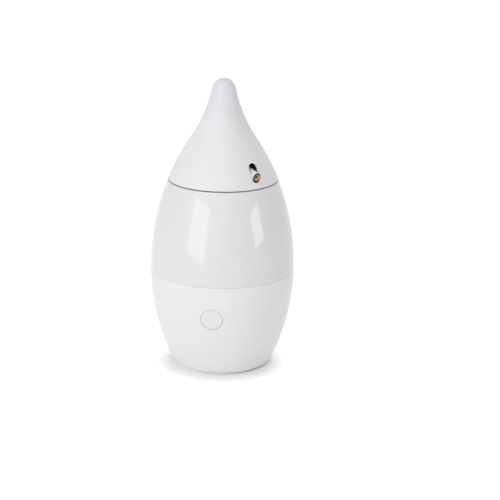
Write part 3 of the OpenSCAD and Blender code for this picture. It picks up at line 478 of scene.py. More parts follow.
# %% Press the button's face onto the guide
FRONT_FROM = 50 * MM
front = button.vertex_groups.new(name="front")
front.add([v.index for v in button.data.vertices if v.co.y < -FRONT_FROM], 1.0, "REPLACE")
press = button.modifiers.new("press", "SHRINKWRAP")
press.target = button_guide
press.vertex_group = "front"
press.wrap_method = "PROJECT"
press.use_project_x = press.use_project_z = False
press.use_project_y = True
press.use_negative_direction = press.use_positive_direction = True
pick(button)
bpy.ops.object.modifier_apply(modifier=press.name)
bpy.data.objects.remove(button_guide)
face_depths = [-v.co.y / MM for v in button.data.vertices if v.co.y < -FRONT_FROM]
print("the face lies", round(min(face_depths), 2), "to", round(max(face_depths), 2), "mm out")

# %% Bevel the button's rim
RIM_BEVEL, RIM_BEVEL_SEGMENTS, RIM_SLACK = 0.35 * MM, 3, 0.01 * MM


def on_button_rim(a, b):
    """Both ends lie on the outer circle of the face."""
    reach = [math.hypot(p.x, p.z - BUTTON_Z) for p in (a, b)]
    return min(reach) > BUTTON_R - RIM_SLACK and max(a.y, b.y) < -HOLLOW_END


select_edges(button, on_button_rim)
bpy.ops.mesh.bevel(offset=RIM_BEVEL, segments=RIM_BEVEL_SEGMENTS, affect="EDGES")
bpy.ops.object.mode_set(mode="OBJECT")
finish(button, "button", "shell_white", "button_cap")

# %% [markdown]
# ## The laser modules
# Each module is a cream sleeve on two pins, with a brass barrel in it. The barrel's mouth holds
# a copper-coloured ring with a funnel, and a small red lens sits behind that. Cylinders joined
# end to end would do from afar, but the mouth is what the eye goes to. They are turned parts,
# so all four are lathe profiles along the module's axis, made once and then copied to the other
# side of the head.

# %% Turn the sleeve and add its pins
TILT = 14
LASER_AT = Vector((0, -27.32 * MM, 150.8 * MM))
SLEEVE_R, BARREL_R, SLEEVE_GAP = 3.4 * MM, 3 * MM, 0.02 * MM
MOUTH, SLEEVE_END, SLEEVE_BACK = 11.5 * MM, 11 * MM, -8.5 * MM
PIN_R, PIN_IN, PIN_OUT = 1.6 * MM, 3.2 * MM, 5.7 * MM
SOFT, SOFT_SEGMENTS = 0.15 * MM, 3

bore = BARREL_R + SLEEVE_GAP
soft_r = SLEEVE_R - SOFT
sleeve_profile = arc((soft_r, SLEEVE_BACK + SOFT), SOFT, -90, 0, SOFT_SEGMENTS)
sleeve_profile += arc((soft_r, SLEEVE_END - SOFT), SOFT, 0, 90, SOFT_SEGMENTS)
sleeve_profile += [(bore, SLEEVE_END), (bore, SLEEVE_BACK)]
sleeve_profile += [sleeve_profile[0]]
sleeve = lathe("front_sleeve_tube", sleeve_profile, PART_STEPS)
for side in (-1, 1):
    pin_ends = (side * PIN_OUT, 0, 0), (side * PIN_IN, 0, 0)
    combine(sleeve, rod("pin", PIN_R, *pin_ends, HOLE_STEPS), "UNION")
print("sleeve turned, with", len(sleeve.data.polygons), "faces")


# %% Turn the barrel and the lens ring
def from_mouth(points):
    """Radius and depth in millimetres, with the depth counted back from the barrel's mouth."""
    return [(r * MM, MOUTH - depth * MM) for r, depth in points]


barrel = lathe("front_brass_barrel", from_mouth([
    (2.45, 15.5), (3, 15.5), (3, 0.25), (2.75, 0), (2.42, 0), (2.27, 0.15), (2.27, 1.2),
    (1.62, 1.2), (1.62, 2.2), (0.75, 2.2), (0.75, 14), (2.45, 14), (2.45, 15.5)]), PART_STEPS)
lens_ring = lathe("front_copper_ring", from_mouth([
    (2.15, 1.2), (2.25, 1.1), (2.25, 0.4), (2.15, 0.3), (2, 0.3), (1.25, 0.85), (1.02, 0.9),
    (0.97, 1), (0.97, 1.2), (2.15, 1.2)]), PART_STEPS)
print("barrel and lens ring turned")

# %% [markdown]
# The ring is screwed in with a forked key, so two notches cross its face. The lens is a low
# dome: a flat disc would not catch a spark of light.

# %% Notch the ring and turn the lens
NOTCH_IN, NOTCH_OUT, NOTCH_HALF = 1.5 * MM, 3.5 * MM, 0.3 * MM
NOTCH_DEEP, NOTCH_OVER = 0.6 * MM, 0.3 * MM
# the lens in millimetres, as from_mouth takes them
LENS_R, LENS_EDGE, DOME_RISE, LENS_BACK = 1.6, 1.6, 0.4, 2.2
DOME_ANGLES = [math.radians(15 * k) for k in range(7)]
SMALL_STEPS = 64

for side in (-1, 1):
    low, high = sorted((side * NOTCH_IN, side * NOTCH_OUT))
    notch_low = (low, -NOTCH_HALF, MOUTH - NOTCH_DEEP)
    notch_high = (high, NOTCH_HALF, MOUTH + NOTCH_OVER)
    combine(lens_ring, plate("notch", notch_low, notch_high))

dome = [(LENS_R * math.sin(t), LENS_EDGE - DOME_RISE * math.cos(t)) for t in DOME_ANGLES]
lens_points = dome + [(LENS_R, LENS_BACK), (0, LENS_BACK)]
lens = lathe("front_red_lens", from_mouth(lens_points), SMALL_STEPS)
print("lens turned, with", len(lens.data.polygons), "faces")

# %% [markdown]
# The four parts are modelled upright at the origin, because a lathe needs an upright axis. One
# matrix tips them over, moves them out to the tilt axis and turns them to their slot. It is
# applied to the mesh, and is used again later to lay the finish along the same axis.

# %% Hang a module in each slot
def laser_place(turn):
    """From the module's own frame, with its axis along +Z, to its slot in the head."""
    tip_down = Matrix.Rotation(math.radians(90 + TILT), 4, "X")
    return Matrix.Rotation(math.radians(turn), 4, "Z") @ Matrix.Translation(LASER_AT) @ tip_down


module = (
    (sleeve, "sleeve_white", "sleeve"),
    (barrel, "brass", "barrel"),
    (lens_ring, "copper_brass", "lens_ring"),
    (lens, "lens_red", "lens"))
lasers = {}
for piece, slot, node in module:
    lasers[node] = (piece, twin(piece, piece.name.replace("front", "rear")))
    for part, (end, turn) in zip(lasers[node], ENDS):
        place(part, laser_place(turn))
        finish(part, end + "_laser", slot, end + "_" + node)

# %% [markdown]
# ## The feet
# Four soft pads stick out of pockets in the underside. Plain discs would look punched out. A
# moulded pad is a low tapered disc with rounded edges and a shallow dish, turned once and
# copied to the other three places.

# %% Turn one pad and copy it
DISH, DISH_R, DISH_EDGE = 0.12 * MM, 2.6 * MM, 2.8 * MM
PAD_FLAT, PAD_EDGE, PAD_SEGMENTS = 3.45 * MM, 0.25 * MM, 4
pad_profile = [(0, DISH), (DISH_R, DISH), (DISH_EDGE, 0.0), (PAD_FLAT, 0.0)]
pad_profile += arc((PAD_FLAT, PAD_EDGE), PAD_EDGE, -80, -10, PAD_SEGMENTS)
pad_profile += [(PAD_R, FOOT_Z), (PAD_R, FOOT_Z + POCKET), (0, FOOT_Z + POCKET)]
first_pad = lathe("pad_1", pad_profile, SMALL_STEPS)
pads = [first_pad] + [twin(first_pad, "pad_" + str(k)) for k in (2, 3, 4)]
for pad, angle in zip(pads, foot_angles):
    turned = Matrix.Rotation(math.radians(angle), 4, "Z")
    place(pad, turned @ Matrix.Translation((FOOT_AT, 0, 0)))
    finish(pad, "base", "foot_rubber", "rubber_feet")

# %% [markdown]
# ## The battery door
# The door is a flat moulding with rounded corners, two screw lugs and a finger groove. It could
# be drawn again from a box, but the measured node has all of that, and only its edges are dead
# sharp. A copy is merged into one skin, its flat faces are dissolved to single ones, and a
# narrow bevel breaks the edges.

# %% Merge a copy of the door
FLAT_ANGLE, SHARP_ANGLE, DOOR_BEVEL = math.radians(2), math.radians(50), 0.12 * MM
door = twin(nodes["battery_door"], "door")
for key in [k for k in door.keys() if k.startswith("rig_")]:
    del door[key]
door.parent = None
bpy.ops.object.mode_set(mode="EDIT")
bpy.ops.mesh.select_all(action="SELECT")
bpy.ops.mesh.remove_doubles(threshold=SKIN_MERGE)
bpy.ops.mesh.select_all(action="SELECT")
bpy.ops.mesh.dissolve_limited(angle_limit=FLAT_ANGLE)
bpy.ops.object.mode_set(mode="OBJECT")
print("door merged to", len(door.data.polygons), "faces")

# %% Break the edges of the door
soften = door.modifiers.new("soften", "BEVEL")
soften.width, soften.segments, soften.limit_method = DOOR_BEVEL, 2, "ANGLE"
soften.angle_limit = SHARP_ANGLE
bpy.ops.object.modifier_apply(modifier=soften.name)
finish(door, "door", "door_white", "battery_door")

# %% [markdown]
# Each lug takes a countersunk screw. A thread could be swept as a spiral, but it would lie out
# of sight in the base. So the screw is turned smooth, and two crossed bars cut the recess that
# does show.

# %% Turn a door screw and cut its cross
SCREW_POINTS = (
    (0, 1.1), (1.7, 1.1), (1.88, 1.2), (1.9, 1.3), (0.95, 2.1), (0.95, 7.1), (0.6, 7.6),
    (0, 7.6))
CROSS_REACH, CROSS_HALF = 1.15 * MM, 0.22 * MM
CROSS_LOW, CROSS_HIGH = 0.5 * MM, 1.75 * MM
screw = lathe("door_screw_1", [(r * MM, z * MM) for r, z in SCREW_POINTS], HOLE_STEPS)
for turn in (45, 135):
    bar_low = (-CROSS_REACH, -CROSS_HALF, CROSS_LOW)
    bar = plate("bar", bar_low, (CROSS_REACH, CROSS_HALF, CROSS_HIGH))
    place(bar, Matrix.Rotation(math.radians(turn), 4, "Z"))
    combine(screw, bar)
other_screw = twin(screw, "door_screw_2")
for piece, side in ((screw, 1), (other_screw, -1)):
    place(piece, Matrix.Translation((0, side * DOOR_SCREW_Y, 0)))
    finish(piece, "door", "steel", "door_screws")

# %% [markdown]
# ## The finishes
# Moulded plastic is never one flat colour: there is a faint drift in tone, a fine grain, and a
# roughness that wanders a little. A picture of plastic would show its own light and would need
# unwrapping. Noise on object coordinates does not. These are metres here, so a scale of 1000
# makes features of about a millimetre. The gloss comes from the shader's own sockets.

# %% A shader and its nodes
def shader(name, colour, roughness, **sockets):
    """A principled finish with its plain numbers set on the shader itself."""
    made = bpy.data.materials.new(name)
    made.use_nodes = True
    main = made.node_tree.nodes["Principled BSDF"]
    main.inputs["Base Color"].default_value = (*colour, 1)
    main.inputs["Roughness"].default_value = roughness
    for socket, value in sockets.items():
        main.inputs[socket.replace("_", " ")].default_value = value
    made.diffuse_color = (*colour, 1)
    return made


def add(tree, kind, **settings):
    """A new node with some of its settings changed."""
    node = tree.nodes.new(kind)
    for key, value in settings.items():
        setattr(node, key, value)
    return node


def set_range(node, side, low, high):
    """The From or the To range of a Map Range node."""
    node.inputs[side + " Min"].default_value = low
    node.inputs[side + " Max"].default_value = high


print("helpers for nodes: shader, add, set_range")


# %% Noise that stays put on the piece
def grain(made, scale, detail, stretch=None):
    """Noise on object coordinates, which may be stretched along one way."""
    tree = made.node_tree
    coordinates = add(tree, "ShaderNodeTexCoord")
    noise = add(tree, "ShaderNodeTexNoise")
    noise.inputs["Scale"].default_value = scale
    noise.inputs["Detail"].default_value = detail
    source = coordinates.outputs["Object"]
    if stretch:
        mapping = add(tree, "ShaderNodeMapping")
        mapping.inputs["Scale"].default_value = stretch
        tree.links.new(source, mapping.inputs["Vector"])
        source = mapping.outputs["Vector"]
    tree.links.new(source, noise.inputs["Vector"])
    return noise.outputs["Fac"]


print("grain: noise that keeps its place when a piece moves")

# %% [markdown]
# The same noise can drive the colour, the roughness or a relief. A roughness that wanders stays
# wholly above or wholly below 0.27: the denoiser treats the two sides of that value in two
# ways, which would show as blotches.

# %% Let a pattern drive the finish
NOISE_LOW, NOISE_HIGH = 0.3, 0.7


def tint(made, pattern, low, high):
    """The pattern drifts the colour between two tones."""
    tree = made.node_tree
    mix = add(tree, "ShaderNodeMix", data_type="RGBA")
    mix.inputs["A"].default_value = (*low, 1)
    mix.inputs["B"].default_value = (*high, 1)
    tree.links.new(pattern, mix.inputs["Factor"])
    tree.links.new(mix.outputs["Result"], tree.nodes["Principled BSDF"].inputs["Base Color"])


def wander(made, pattern, low, high):
    """The pattern moves the roughness between two values."""
    tree = made.node_tree
    spread = add(tree, "ShaderNodeMapRange")
    set_range(spread, "From", NOISE_LOW, NOISE_HIGH)
    set_range(spread, "To", low, high)
    tree.links.new(pattern, spread.inputs["Value"])
    tree.links.new(spread.outputs["Result"], tree.nodes["Principled BSDF"].inputs["Roughness"])


def relief(made, pattern, depth, strength):
    """The pattern becomes a fine relief of that depth in metres."""
    tree = made.node_tree
    bump = add(tree, "ShaderNodeBump")
    bump.inputs["Distance"].default_value = depth
    bump.inputs["Strength"].default_value = strength
    tree.links.new(pattern, bump.inputs["Height"])
    tree.links.new(bump.outputs["Normal"], tree.nodes["Principled BSDF"].inputs["Normal"])


print("a pattern can tint, wander and make relief")

# %% [markdown]
# Most of the toy is white plastic from a mould, in four sheens: satin on the head, gloss on the
# middle, and two near satins on the base and the button. One recipe with other numbers makes
# them all, and makes the dark plastic, the rubber and the boards too.

# %% The recipe for moulded plastic
DRIFT_SCALE, SHEEN_SCALE, GRAIN_SCALE = 35, 120, 2600
GRAIN_STRENGTH = 0.5


def shade_of(colour, factor):
    """The same colour, darker."""
    return tuple(channel * factor for channel in colour)


def moulded(name, colour, roughness, drift=0.985, spread=0.03, grain_depth=0.004):
    """A slow drift in tone, a wandering sheen and a fine grain, its depth in millimetres."""
    made = shader(name, colour, roughness)
    tint(made, grain(made, DRIFT_SCALE, 2), shade_of(colour, drift), colour)
    wander(made, grain(made, SHEEN_SCALE, 4), roughness - spread, roughness + spread)
    relief(made, grain(made, GRAIN_SCALE, 2), grain_depth * MM, GRAIN_STRENGTH)
    return made


satin_white = moulded("satin_white", (0.802, 0.799, 0.816), 0.36, spread=0.04, grain_depth=0.006)
gloss_white = moulded(
    "gloss_white", (0.772, 0.769, 0.783), 0.05, spread=0.012, grain_depth=0.0008)
base_white = moulded("base_white", (0.835, 0.831, 0.833), 0.34, spread=0.04, grain_depth=0.005)
button_white = moulded("button_white", (0.825, 0.821, 0.824), 0.33)
print("white plastics made")

# %% Plastic inside, rubber and boards
# after each colour: roughness, drift in tone, spread of the sheen, depth of the grain
door_white = moulded("door_white", (0.80, 0.798, 0.80), 0.5, spread=0.05, grain_depth=0.015)
inner_white = moulded("inner_white", (0.74, 0.74, 0.72), 0.55, spread=0.06, grain_depth=0.02)
black_plastic = moulded("black_plastic", (0.022, 0.022, 0.024), 0.45, 0.8, 0.08, 0.02)
rubber = moulded("pad_rubber", (0.045, 0.045, 0.048), 0.8, 0.75, 0.08, 0.03)
cell_jacket = moulded("cell_jacket", (0.05, 0.052, 0.056), 0.35, 0.85, 0.05, 0.003)
board_green = moulded("board_green", (0.03, 0.13, 0.06), 0.38, 0.7, 0.07, 0.008)
print("inner plastics, rubber, jacket and board made")

# %% [markdown]
# The lens is a dark red drop that glows very faintly, as if the diode behind it were on. Real
# glass would need light from behind, and there is none in the barrel, so it is a smooth dark
# red with a weak emission.

# %% Lens finish
lens_red = shader("lens_red", (0.05, 0.001, 0.002), 0.06,
                  Emission_Color=(0.5, 0.01, 0.01, 1), Emission_Strength=0.03)
tint(lens_red, grain(lens_red, 900, 2), (0.03, 0.001, 0.001), (0.06, 0.002, 0.003))
print("lens finish made")

# %% [markdown]
# Towards its tip the head's colour is faded a little cooler and darker. This is painted shade,
# for the tip lies a little darker in this light. Vertex colours could carry that, but a fade
# needs no more than two heights and one colour.

# %% Paint shade on the head towards the tip
FADE_LOW, FADE_HIGH, TIP_PAINTED_SHADE = 172 * MM, 202 * MM, (0.746, 0.739, 0.775)


def height_of(made, where=None):
    """The upright coordinate of the object, or of another place, in metres."""
    tree = made.node_tree
    split = add(tree, "ShaderNodeSeparateXYZ")
    where = where or add(tree, "ShaderNodeTexCoord").outputs["Object"]
    tree.links.new(where, split.inputs["Vector"])
    return split.outputs["Z"]


def fade(made, position, start, end, colour):
    """The base colour fades to another one between two positions."""
    tree = made.node_tree
    socket = tree.nodes["Principled BSDF"].inputs["Base Color"]
    step = add(tree, "ShaderNodeMapRange", interpolation_type="SMOOTHSTEP")
    set_range(step, "From", start, end)
    mix = add(tree, "ShaderNodeMix", data_type="RGBA")
    mix.inputs["B"].default_value = (*colour, 1)
    tree.links.new(socket.links[0].from_socket, mix.inputs["A"])
    tree.links.new(position, step.inputs["Value"])
    tree.links.new(step.outputs["Result"], mix.inputs["Factor"])
    tree.links.new(mix.outputs["Result"], socket)


# painted shade: the head's colour turns darker and cooler towards the tip
fade(satin_white, height_of(satin_white), FADE_LOW, FADE_HIGH, TIP_PAINTED_SHADE)
print("the head fades from", FADE_LOW, "to", FADE_HIGH, "m")

# %% [markdown]
# Turned metal shows fine rings round its axis. Straight noise would look cast. Each module
# points another way, so object coordinates are first brought into the module's own frame by
# the inverse of its placing. The distance from the axis then gives true rings, and it also
# parts the lens ring in two tones: a pale lip and a copper funnel.

# %% The module's own frame
def module_frame(made, turn):
    """The distance from the module's axis, and the place in its frame, in metres."""
    tree = made.node_tree
    back_home = laser_place(turn).inverted()
    coordinates = add(tree, "ShaderNodeTexCoord")
    mapping = add(tree, "ShaderNodeMapping")
    mapping.inputs["Rotation"].default_value = back_home.to_euler("XYZ")
    mapping.inputs["Location"].default_value = back_home.to_translation()
    flat = add(tree, "ShaderNodeVectorMath", operation="MULTIPLY")
    flat.inputs[1].default_value = (1, 1, 0)
    reach = add(tree, "ShaderNodeVectorMath", operation="LENGTH")
    tree.links.new(coordinates.outputs["Object"], mapping.inputs["Vector"])
    tree.links.new(mapping.outputs["Vector"], flat.inputs[0])
    tree.links.new(flat.outputs["Vector"], reach.inputs[0])
    return reach.outputs["Value"], mapping.outputs["Vector"]


print("frames for the modules at", [turn for _, turn in ENDS], "degrees")

# %% Turned metal
RING_MARKS, TONE_EDGE = 5000, 0.05 * MM
MARK_DEPTH, MARK_STRENGTH = 0.01 * MM, 0.6
TURNED_ROUGH, SHEEN_BELOW, SHEEN_ABOVE = 0.38, 0.06, 0.08
# the dark brass tone is painted shade on the barrel's outer rim
BRASS, PAINTED_SHADE_BRASS, COPPER = (0.62, 0.49, 0.30), (0.055, 0.045, 0.03), (0.42, 0.21, 0.12)
BARREL_CHANGE, RING_CHANGE = 2.4 * MM, 1.95 * MM


def turned_metal(name, inner, outer, turn, change_at):
    """Metal with ring marks, whose tone changes at a distance from the axis."""
    made = shader(name, outer, TURNED_ROUGH, Metallic=1.0)
    tree = made.node_tree
    radius, spot = module_frame(made, turn)
    split = add(tree, "ShaderNodeSeparateXYZ")
    pair = add(tree, "ShaderNodeCombineXYZ")
    marks = add(tree, "ShaderNodeTexNoise")
    marks.inputs["Scale"].default_value = RING_MARKS
    marks.inputs["Detail"].default_value = 2
    tree.links.new(spot, split.inputs["Vector"])
    tree.links.new(radius, pair.inputs["X"])
    tree.links.new(split.outputs["Z"], pair.inputs["Y"])
    tree.links.new(pair.outputs["Vector"], marks.inputs["Vector"])
    step = add(tree, "ShaderNodeMapRange")
    set_range(step, "From", change_at - TONE_EDGE, change_at + TONE_EDGE)
    tree.links.new(radius, step.inputs["Value"])
    tint(made, step.outputs["Result"], inner, outer)
    wander(made, marks.outputs["Fac"], TURNED_ROUGH - SHEEN_BELOW, TURNED_ROUGH + SHEEN_ABOVE)
    relief(made, marks.outputs["Fac"], MARK_DEPTH, MARK_STRENGTH)
    return made


# painted shade: each barrel is dark beyond BARREL_CHANGE from its axis, on its outer rim
brass = [turned_metal("turned_brass_" + end, BRASS, PAINTED_SHADE_BRASS, turn, BARREL_CHANGE)
         for end, turn in ENDS]
copper = [turned_metal("copper_ring_" + end, COPPER, BRASS, turn, RING_CHANGE)
          for end, turn in ENDS]
print("turned metals made:", [made.name for made in brass + copper])

# %% [markdown]
# The screws, the motor can and the bushes are plain metal. Ring marks would suit them too, but
# most of them hide inside. So a drift in tone and a wandering sheen are enough, and the steel
# has a faint grain drawn out upwards.

# %% Plain metal
METAL_TONE_SCALE, METAL_SHEEN_SCALE, METAL_SHEEN_LOW = 260, 900, 0.29


def plain_metal(name, colour, dark, bright, roughness, sheen_high):
    """Metal with a drift between two tones and a wandering sheen."""
    made = shader(name, colour, roughness, Metallic=1.0)
    tint(made, grain(made, METAL_TONE_SCALE, 4), dark, bright)
    wander(made, grain(made, METAL_SHEEN_SCALE, 3), METAL_SHEEN_LOW, sheen_high)
    return made


plain_brass = plain_metal("plain_brass", BRASS, shade_of(BRASS, 0.8), BRASS, 0.36, 0.43)
STEEL, DARK_STEEL, BRIGHT_STEEL = (0.55, 0.56, 0.58), (0.42, 0.43, 0.45), (0.58, 0.59, 0.61)
steel = plain_metal("steel", STEEL, DARK_STEEL, BRIGHT_STEEL, 0.3, 0.42)
relief(steel, grain(steel, 1800, 3, stretch=(1, 1, 0.1)), 0.004 * MM, 0.4)
print("plain metals made")

# %% [markdown]
# The sleeve is cream all over, and its cut end is painted dark: painted shade, where the end
# lies in shadow. A second material on the end faces would give a hard edge, so the module's
# frame gives the place along the axis, and the last bit before the end turns dark.

# %% Sleeve finish
# the second colour is painted shade for the sleeve's cut end
CREAM, PAINTED_END_SHADE = (0.80, 0.79, 0.745), (0.06, 0.05, 0.045)


def sleeve_finish(end, turn):
    """Cream plastic with painted shade at its cut end."""
    made = moulded("cream_sleeve_" + end, CREAM, 0.34, drift=0.97, spread=0.05)
    along = height_of(made, module_frame(made, turn)[1])
    fade(made, along, SLEEVE_END - SOFT, SLEEVE_END - SOFT / 2, PAINTED_END_SHADE)
    return made


cream = [sleeve_finish(end, turn) for end, turn in ENDS]
print("sleeve finishes made:", [made.name for made in cream])

# %% [markdown]
# ## Dressing
# Each new piece gets its own finish. The nodes that keep their measured shape get the finish of
# the slot that the record gives them, so that nothing inside the toy is left grey.

# %% Dress the new pieces
def dress(piece, made):
    """This finish and no other."""
    piece.data.materials.clear()
    piece.data.materials.append(made)


outfit = (
    (base_body, base_white), (middle_body, gloss_white), (head, satin_white),
    (button, button_white), (door, door_white), (screw, steel), (other_screw, steel))
for piece, made in outfit:
    dress(piece, made)
for pad in pads:
    dress(pad, rubber)
for side in (0, 1):
    dress(lasers["sleeve"][side], cream[side])
    dress(lasers["barrel"][side], brass[side])
    dress(lasers["lens_ring"][side], copper[side])
    dress(lasers["lens"][side], lens_red)
print("dressed", len(outfit) + len(pads) + 2 * len(lasers), "new pieces")

# %% Dress the measured nodes
by_slot = {
    "shell_white": base_white, "head_white": satin_white, "door_white": door_white,
    "inner_white": inner_white, "sleeve_white": cream[0], "brass": plain_brass,
    "copper_brass": copper[0], "lens_red": lens_red, "circuit_board": board_green,
    "black_plastic": black_plastic, "foot_rubber": rubber, "cell_jacket": cell_jacket,
    "steel": steel}
kept = 0
for part in frame["record"]["subparts"]:
    node = nodes.get(part["node"])
    if node is not None and not node.hide_render:
        for index in range(len(node.data.materials)):
            node.data.materials[index] = by_slot[part["material_slot"]]
        kept += 1
print("dressed", kept, "nodes that keep their measured shape")

# %% [markdown]
# ## The studio
# A plain white floor, a white surround and soft boxes. The camera and mirrors see the surround
# at a strength of 1, which is white, while matt surfaces are lit by a lower level, so that the
# white plastic keeps its shading. Brighter lamps would make the floor white too, but would burn
# out the toy.

# %% Floor and what is seen directly
FLOOR_SIZE = 14
pick_none()
bpy.ops.mesh.primitive_plane_add(size=FLOOR_SIZE, location=(0, 0, 0))
floor = bpy.context.object
floor.name = "floor"


def seen_directly(tree):
    """1 for what the camera, a mirror or glass sees, 0 for light that falls on matt surfaces."""
    path = add(tree, "ShaderNodeLightPath")
    glossy = add(tree, "ShaderNodeMath", operation="MAXIMUM")
    both = add(tree, "ShaderNodeMath", operation="MAXIMUM")
    tree.links.new(path.outputs["Is Camera Ray"], glossy.inputs[0])
    tree.links.new(path.outputs["Is Glossy Ray"], glossy.inputs[1])
    tree.links.new(glossy.outputs["Value"], both.inputs[0])
    tree.links.new(path.outputs["Is Transmission Ray"], both.inputs[1])
    return both.outputs["Value"]


print("floor of", FLOOR_SIZE, "m laid")

# %% [markdown]
# The floor has a glow of its own for the same rays. It is weak round the toy, where the soft
# boxes light the floor and the foot draws its soft shadow, and it grows with the distance,
# where the boxes no longer reach. Three rings of glow add up to that. They also paint light and
# shade on the floor: the first lightens the line under the edge of the foot, and the second, an
# ellipse set off towards the front, gives the soft shadow round the foot its shape.

# %% Rings of glow and painted shadow on the floor
# each ring: centre and squeeze of its ellipse, near and far distance, glow within and beyond
GLOW_AND_SHADOW_RINGS = (
    # the first ring is painted light under the foot's edge, the second paints the shadow's shape
    ((-2, -1), (1, 1), (33.5, 36.5), (0.3, 0.0)),
    ((-0.5, -15.8), (1.37, 1.73), (42, 80), (0.03, 0.466)),
    ((0, 0), (1.35, 1), (100, 900), (0.0, 0.06)))


def glow_and_shadow_ring(tree, centre, squeeze, reach, levels):
    """A glow that paints light and shade, smoothly with the distance from a centre, in
    millimetres.
    """
    shift = add(tree, "ShaderNodeVectorMath", operation="SUBTRACT")
    shift.inputs[1].default_value = (centre[0] * MM, centre[1] * MM, 0)
    ellipse = add(tree, "ShaderNodeVectorMath", operation="MULTIPLY")
    ellipse.inputs[1].default_value = (*squeeze, 1)
    away = add(tree, "ShaderNodeVectorMath", operation="LENGTH")
    ring = add(tree, "ShaderNodeMapRange", interpolation_type="SMOOTHSTEP")
    set_range(ring, "From", reach[0] * MM, reach[1] * MM)
    set_range(ring, "To", *levels)
    tree.links.new(add(tree, "ShaderNodeTexCoord").outputs["Object"], shift.inputs[0])
    tree.links.new(shift.outputs["Vector"], ellipse.inputs[0])
    tree.links.new(ellipse.outputs["Vector"], away.inputs[0])
    tree.links.new(away.outputs["Value"], ring.inputs["Value"])
    return ring.outputs["Result"]


print("rings of glow:", len(GLOW_AND_SHADOW_RINGS))

# %% Floor paper
PAPER_TONE = (0.92, 0.92, 0.92)
floor_paper = bpy.data.materials.new("floor_paper")
floor_paper.use_nodes = True
tree = floor_paper.node_tree
tree.nodes.remove(tree.nodes["Principled BSDF"])
matt = add(tree, "ShaderNodeBsdfDiffuse")
matt.inputs["Color"].default_value = (*PAPER_TONE, 1)
glow = add(tree, "ShaderNodeEmission")
growth = glow_and_shadow_ring(tree, *GLOW_AND_SHADOW_RINGS[0])
for ring in GLOW_AND_SHADOW_RINGS[1:]:
    both = add(tree, "ShaderNodeMath", operation="ADD")
    tree.links.new(growth, both.inputs[0])
    tree.links.new(glow_and_shadow_ring(tree, *ring), both.inputs[1])
    growth = both.outputs["Value"]
level = add(tree, "ShaderNodeMath", operation="MULTIPLY")
total = add(tree, "ShaderNodeAddShader")
tree.links.new(seen_directly(tree), level.inputs[0])
tree.links.new(growth, level.inputs[1])
tree.links.new(level.outputs["Value"], glow.inputs["Strength"])
tree.links.new(matt.outputs["BSDF"], total.inputs[0])
tree.links.new(glow.outputs["Emission"], total.inputs[1])
tree.links.new(total.outputs["Shader"], tree.nodes["Material Output"].inputs["Surface"])
floor.data.materials.append(floor_paper)
print("floor paper has", len(tree.nodes), "nodes")

# %% Surround
SURROUND_LEVEL = 0.54
surround = bpy.data.worlds.new("surround")
bpy.context.scene.world = surround
surround.use_nodes = True
tree = surround.node_tree
back = tree.nodes["Background"]
back.inputs["Color"].default_value = (1, 1, 1, 1)
level = add(tree, "ShaderNodeMapRange")
set_range(level, "To", SURROUND_LEVEL, 1.0)
tree.links.new(seen_directly(tree), level.inputs["Value"])
tree.links.new(level.outputs["Result"], back.inputs["Strength"])
print("surround made")

# %% [markdown]
# ## The soft boxes
# Two small boxes, one on each side of the camera, are what the glossy middle body mirrors as
# leaning windows. Spots would give round highlights. A box above lights the tip, and a wide,
# distant one fills the front left, so that the right side falls off softly.

# %% Soft boxes
LIGHT_AIM = 0.12
# name, angle from the button's side, height, distance, width, height of the box, power, lean
SOFT_BOXES = (
    ("left_box", -32, 0.212, 0.75, 0.40, 0.39, 0.98, -6),
    ("right_box", 67, 0.21, 0.75, 0.24, 0.24, 0.52, 9),
    ("top_box", 0, 1.2, 0.05, 0.7, 0.7, 0.7, 0),
    ("wide_fill", -25, 1.05, 1.35, 2.4, 2.4, 10, 0))


def facing(angle):
    """A level direction, turned by that angle from the button's side."""
    t = math.radians(angle)
    return Vector((math.sin(t), -math.cos(t), 0))


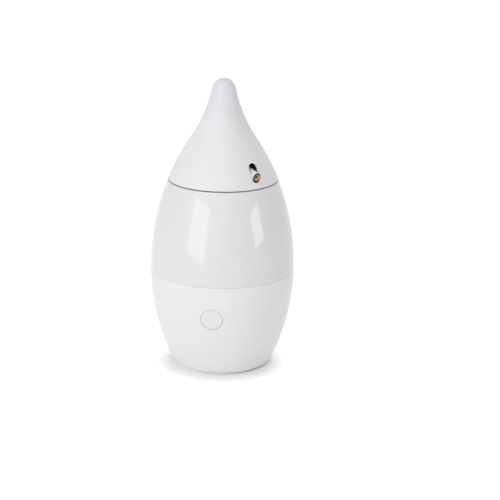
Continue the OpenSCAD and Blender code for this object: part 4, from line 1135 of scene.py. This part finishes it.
def soft_box(name, angle, height, distance, width, tall, power, lean):
    """A rectangular light, aimed at the toy and leaning by some degrees."""
    bpy.ops.object.light_add(type="AREA")
    lamp = bpy.context.object
    lamp.name = name
    lamp.data.shape = "RECTANGLE"
    lamp.data.size, lamp.data.size_y = width, tall
    lamp.data.energy = power
    lamp.location = facing(angle) * distance + Vector((0, 0, height))
    aim = Vector((0, 0, LIGHT_AIM)) - lamp.location
    aimed = aim.to_track_quat("-Z", "Y").to_matrix()
    lamp.rotation_euler = (aimed @ Matrix.Rotation(math.radians(lean), 3, "Z")).to_euler()


for box in SOFT_BOXES:
    soft_box(*box)

# %% [markdown]
# ## The camera
# A long lens from a little above, turned seven degrees to the side, with a slight roll. A short
# lens close by would swell the belly. These numbers come from fitting the outline to the
# picture.

# %% Camera
CAMERA_TURN, CAMERA_RISE = math.radians(7), math.radians(17.48)
CAMERA_ROLL = math.radians(0.88)
DISTANCE, AIM_SIDE, AIM_Z = 980.95 * MM, 20.44 * MM, 85.04 * MM
LENS_LENGTH, SENSOR_WIDTH, NEAR_CLIP, FAR_CLIP = 94.8, 36, 0.05, 50
side_way = Vector((math.cos(CAMERA_TURN), math.sin(CAMERA_TURN), 0))
level_back = Vector((math.sin(CAMERA_TURN), -math.cos(CAMERA_TURN), 0))
back_way = level_back * math.cos(CAMERA_RISE) + Vector((0, 0, math.sin(CAMERA_RISE)))
up_way = back_way.cross(side_way)
right = side_way * math.cos(CAMERA_ROLL) + up_way * math.sin(CAMERA_ROLL)
up = up_way * math.cos(CAMERA_ROLL) - side_way * math.sin(CAMERA_ROLL)
spot = side_way * AIM_SIDE + Vector((0, 0, AIM_Z)) + back_way * DISTANCE
camera_data = bpy.data.cameras.new("camera")
camera_data.lens, camera_data.sensor_width = LENS_LENGTH, SENSOR_WIDTH
camera_data.clip_start, camera_data.clip_end = NEAR_CLIP, FAR_CLIP
camera = bpy.data.objects.new("camera", camera_data)
bpy.context.scene.collection.objects.link(camera)
camera_turn = Matrix((right, up, back_way)).transposed().to_4x4()
camera.matrix_world = Matrix.Translation(spot) @ camera_turn
bpy.context.scene.camera = camera
bpy.context.scene.view_settings.view_transform = "Standard"
print("camera at", [round(v, 3) for v in spot])
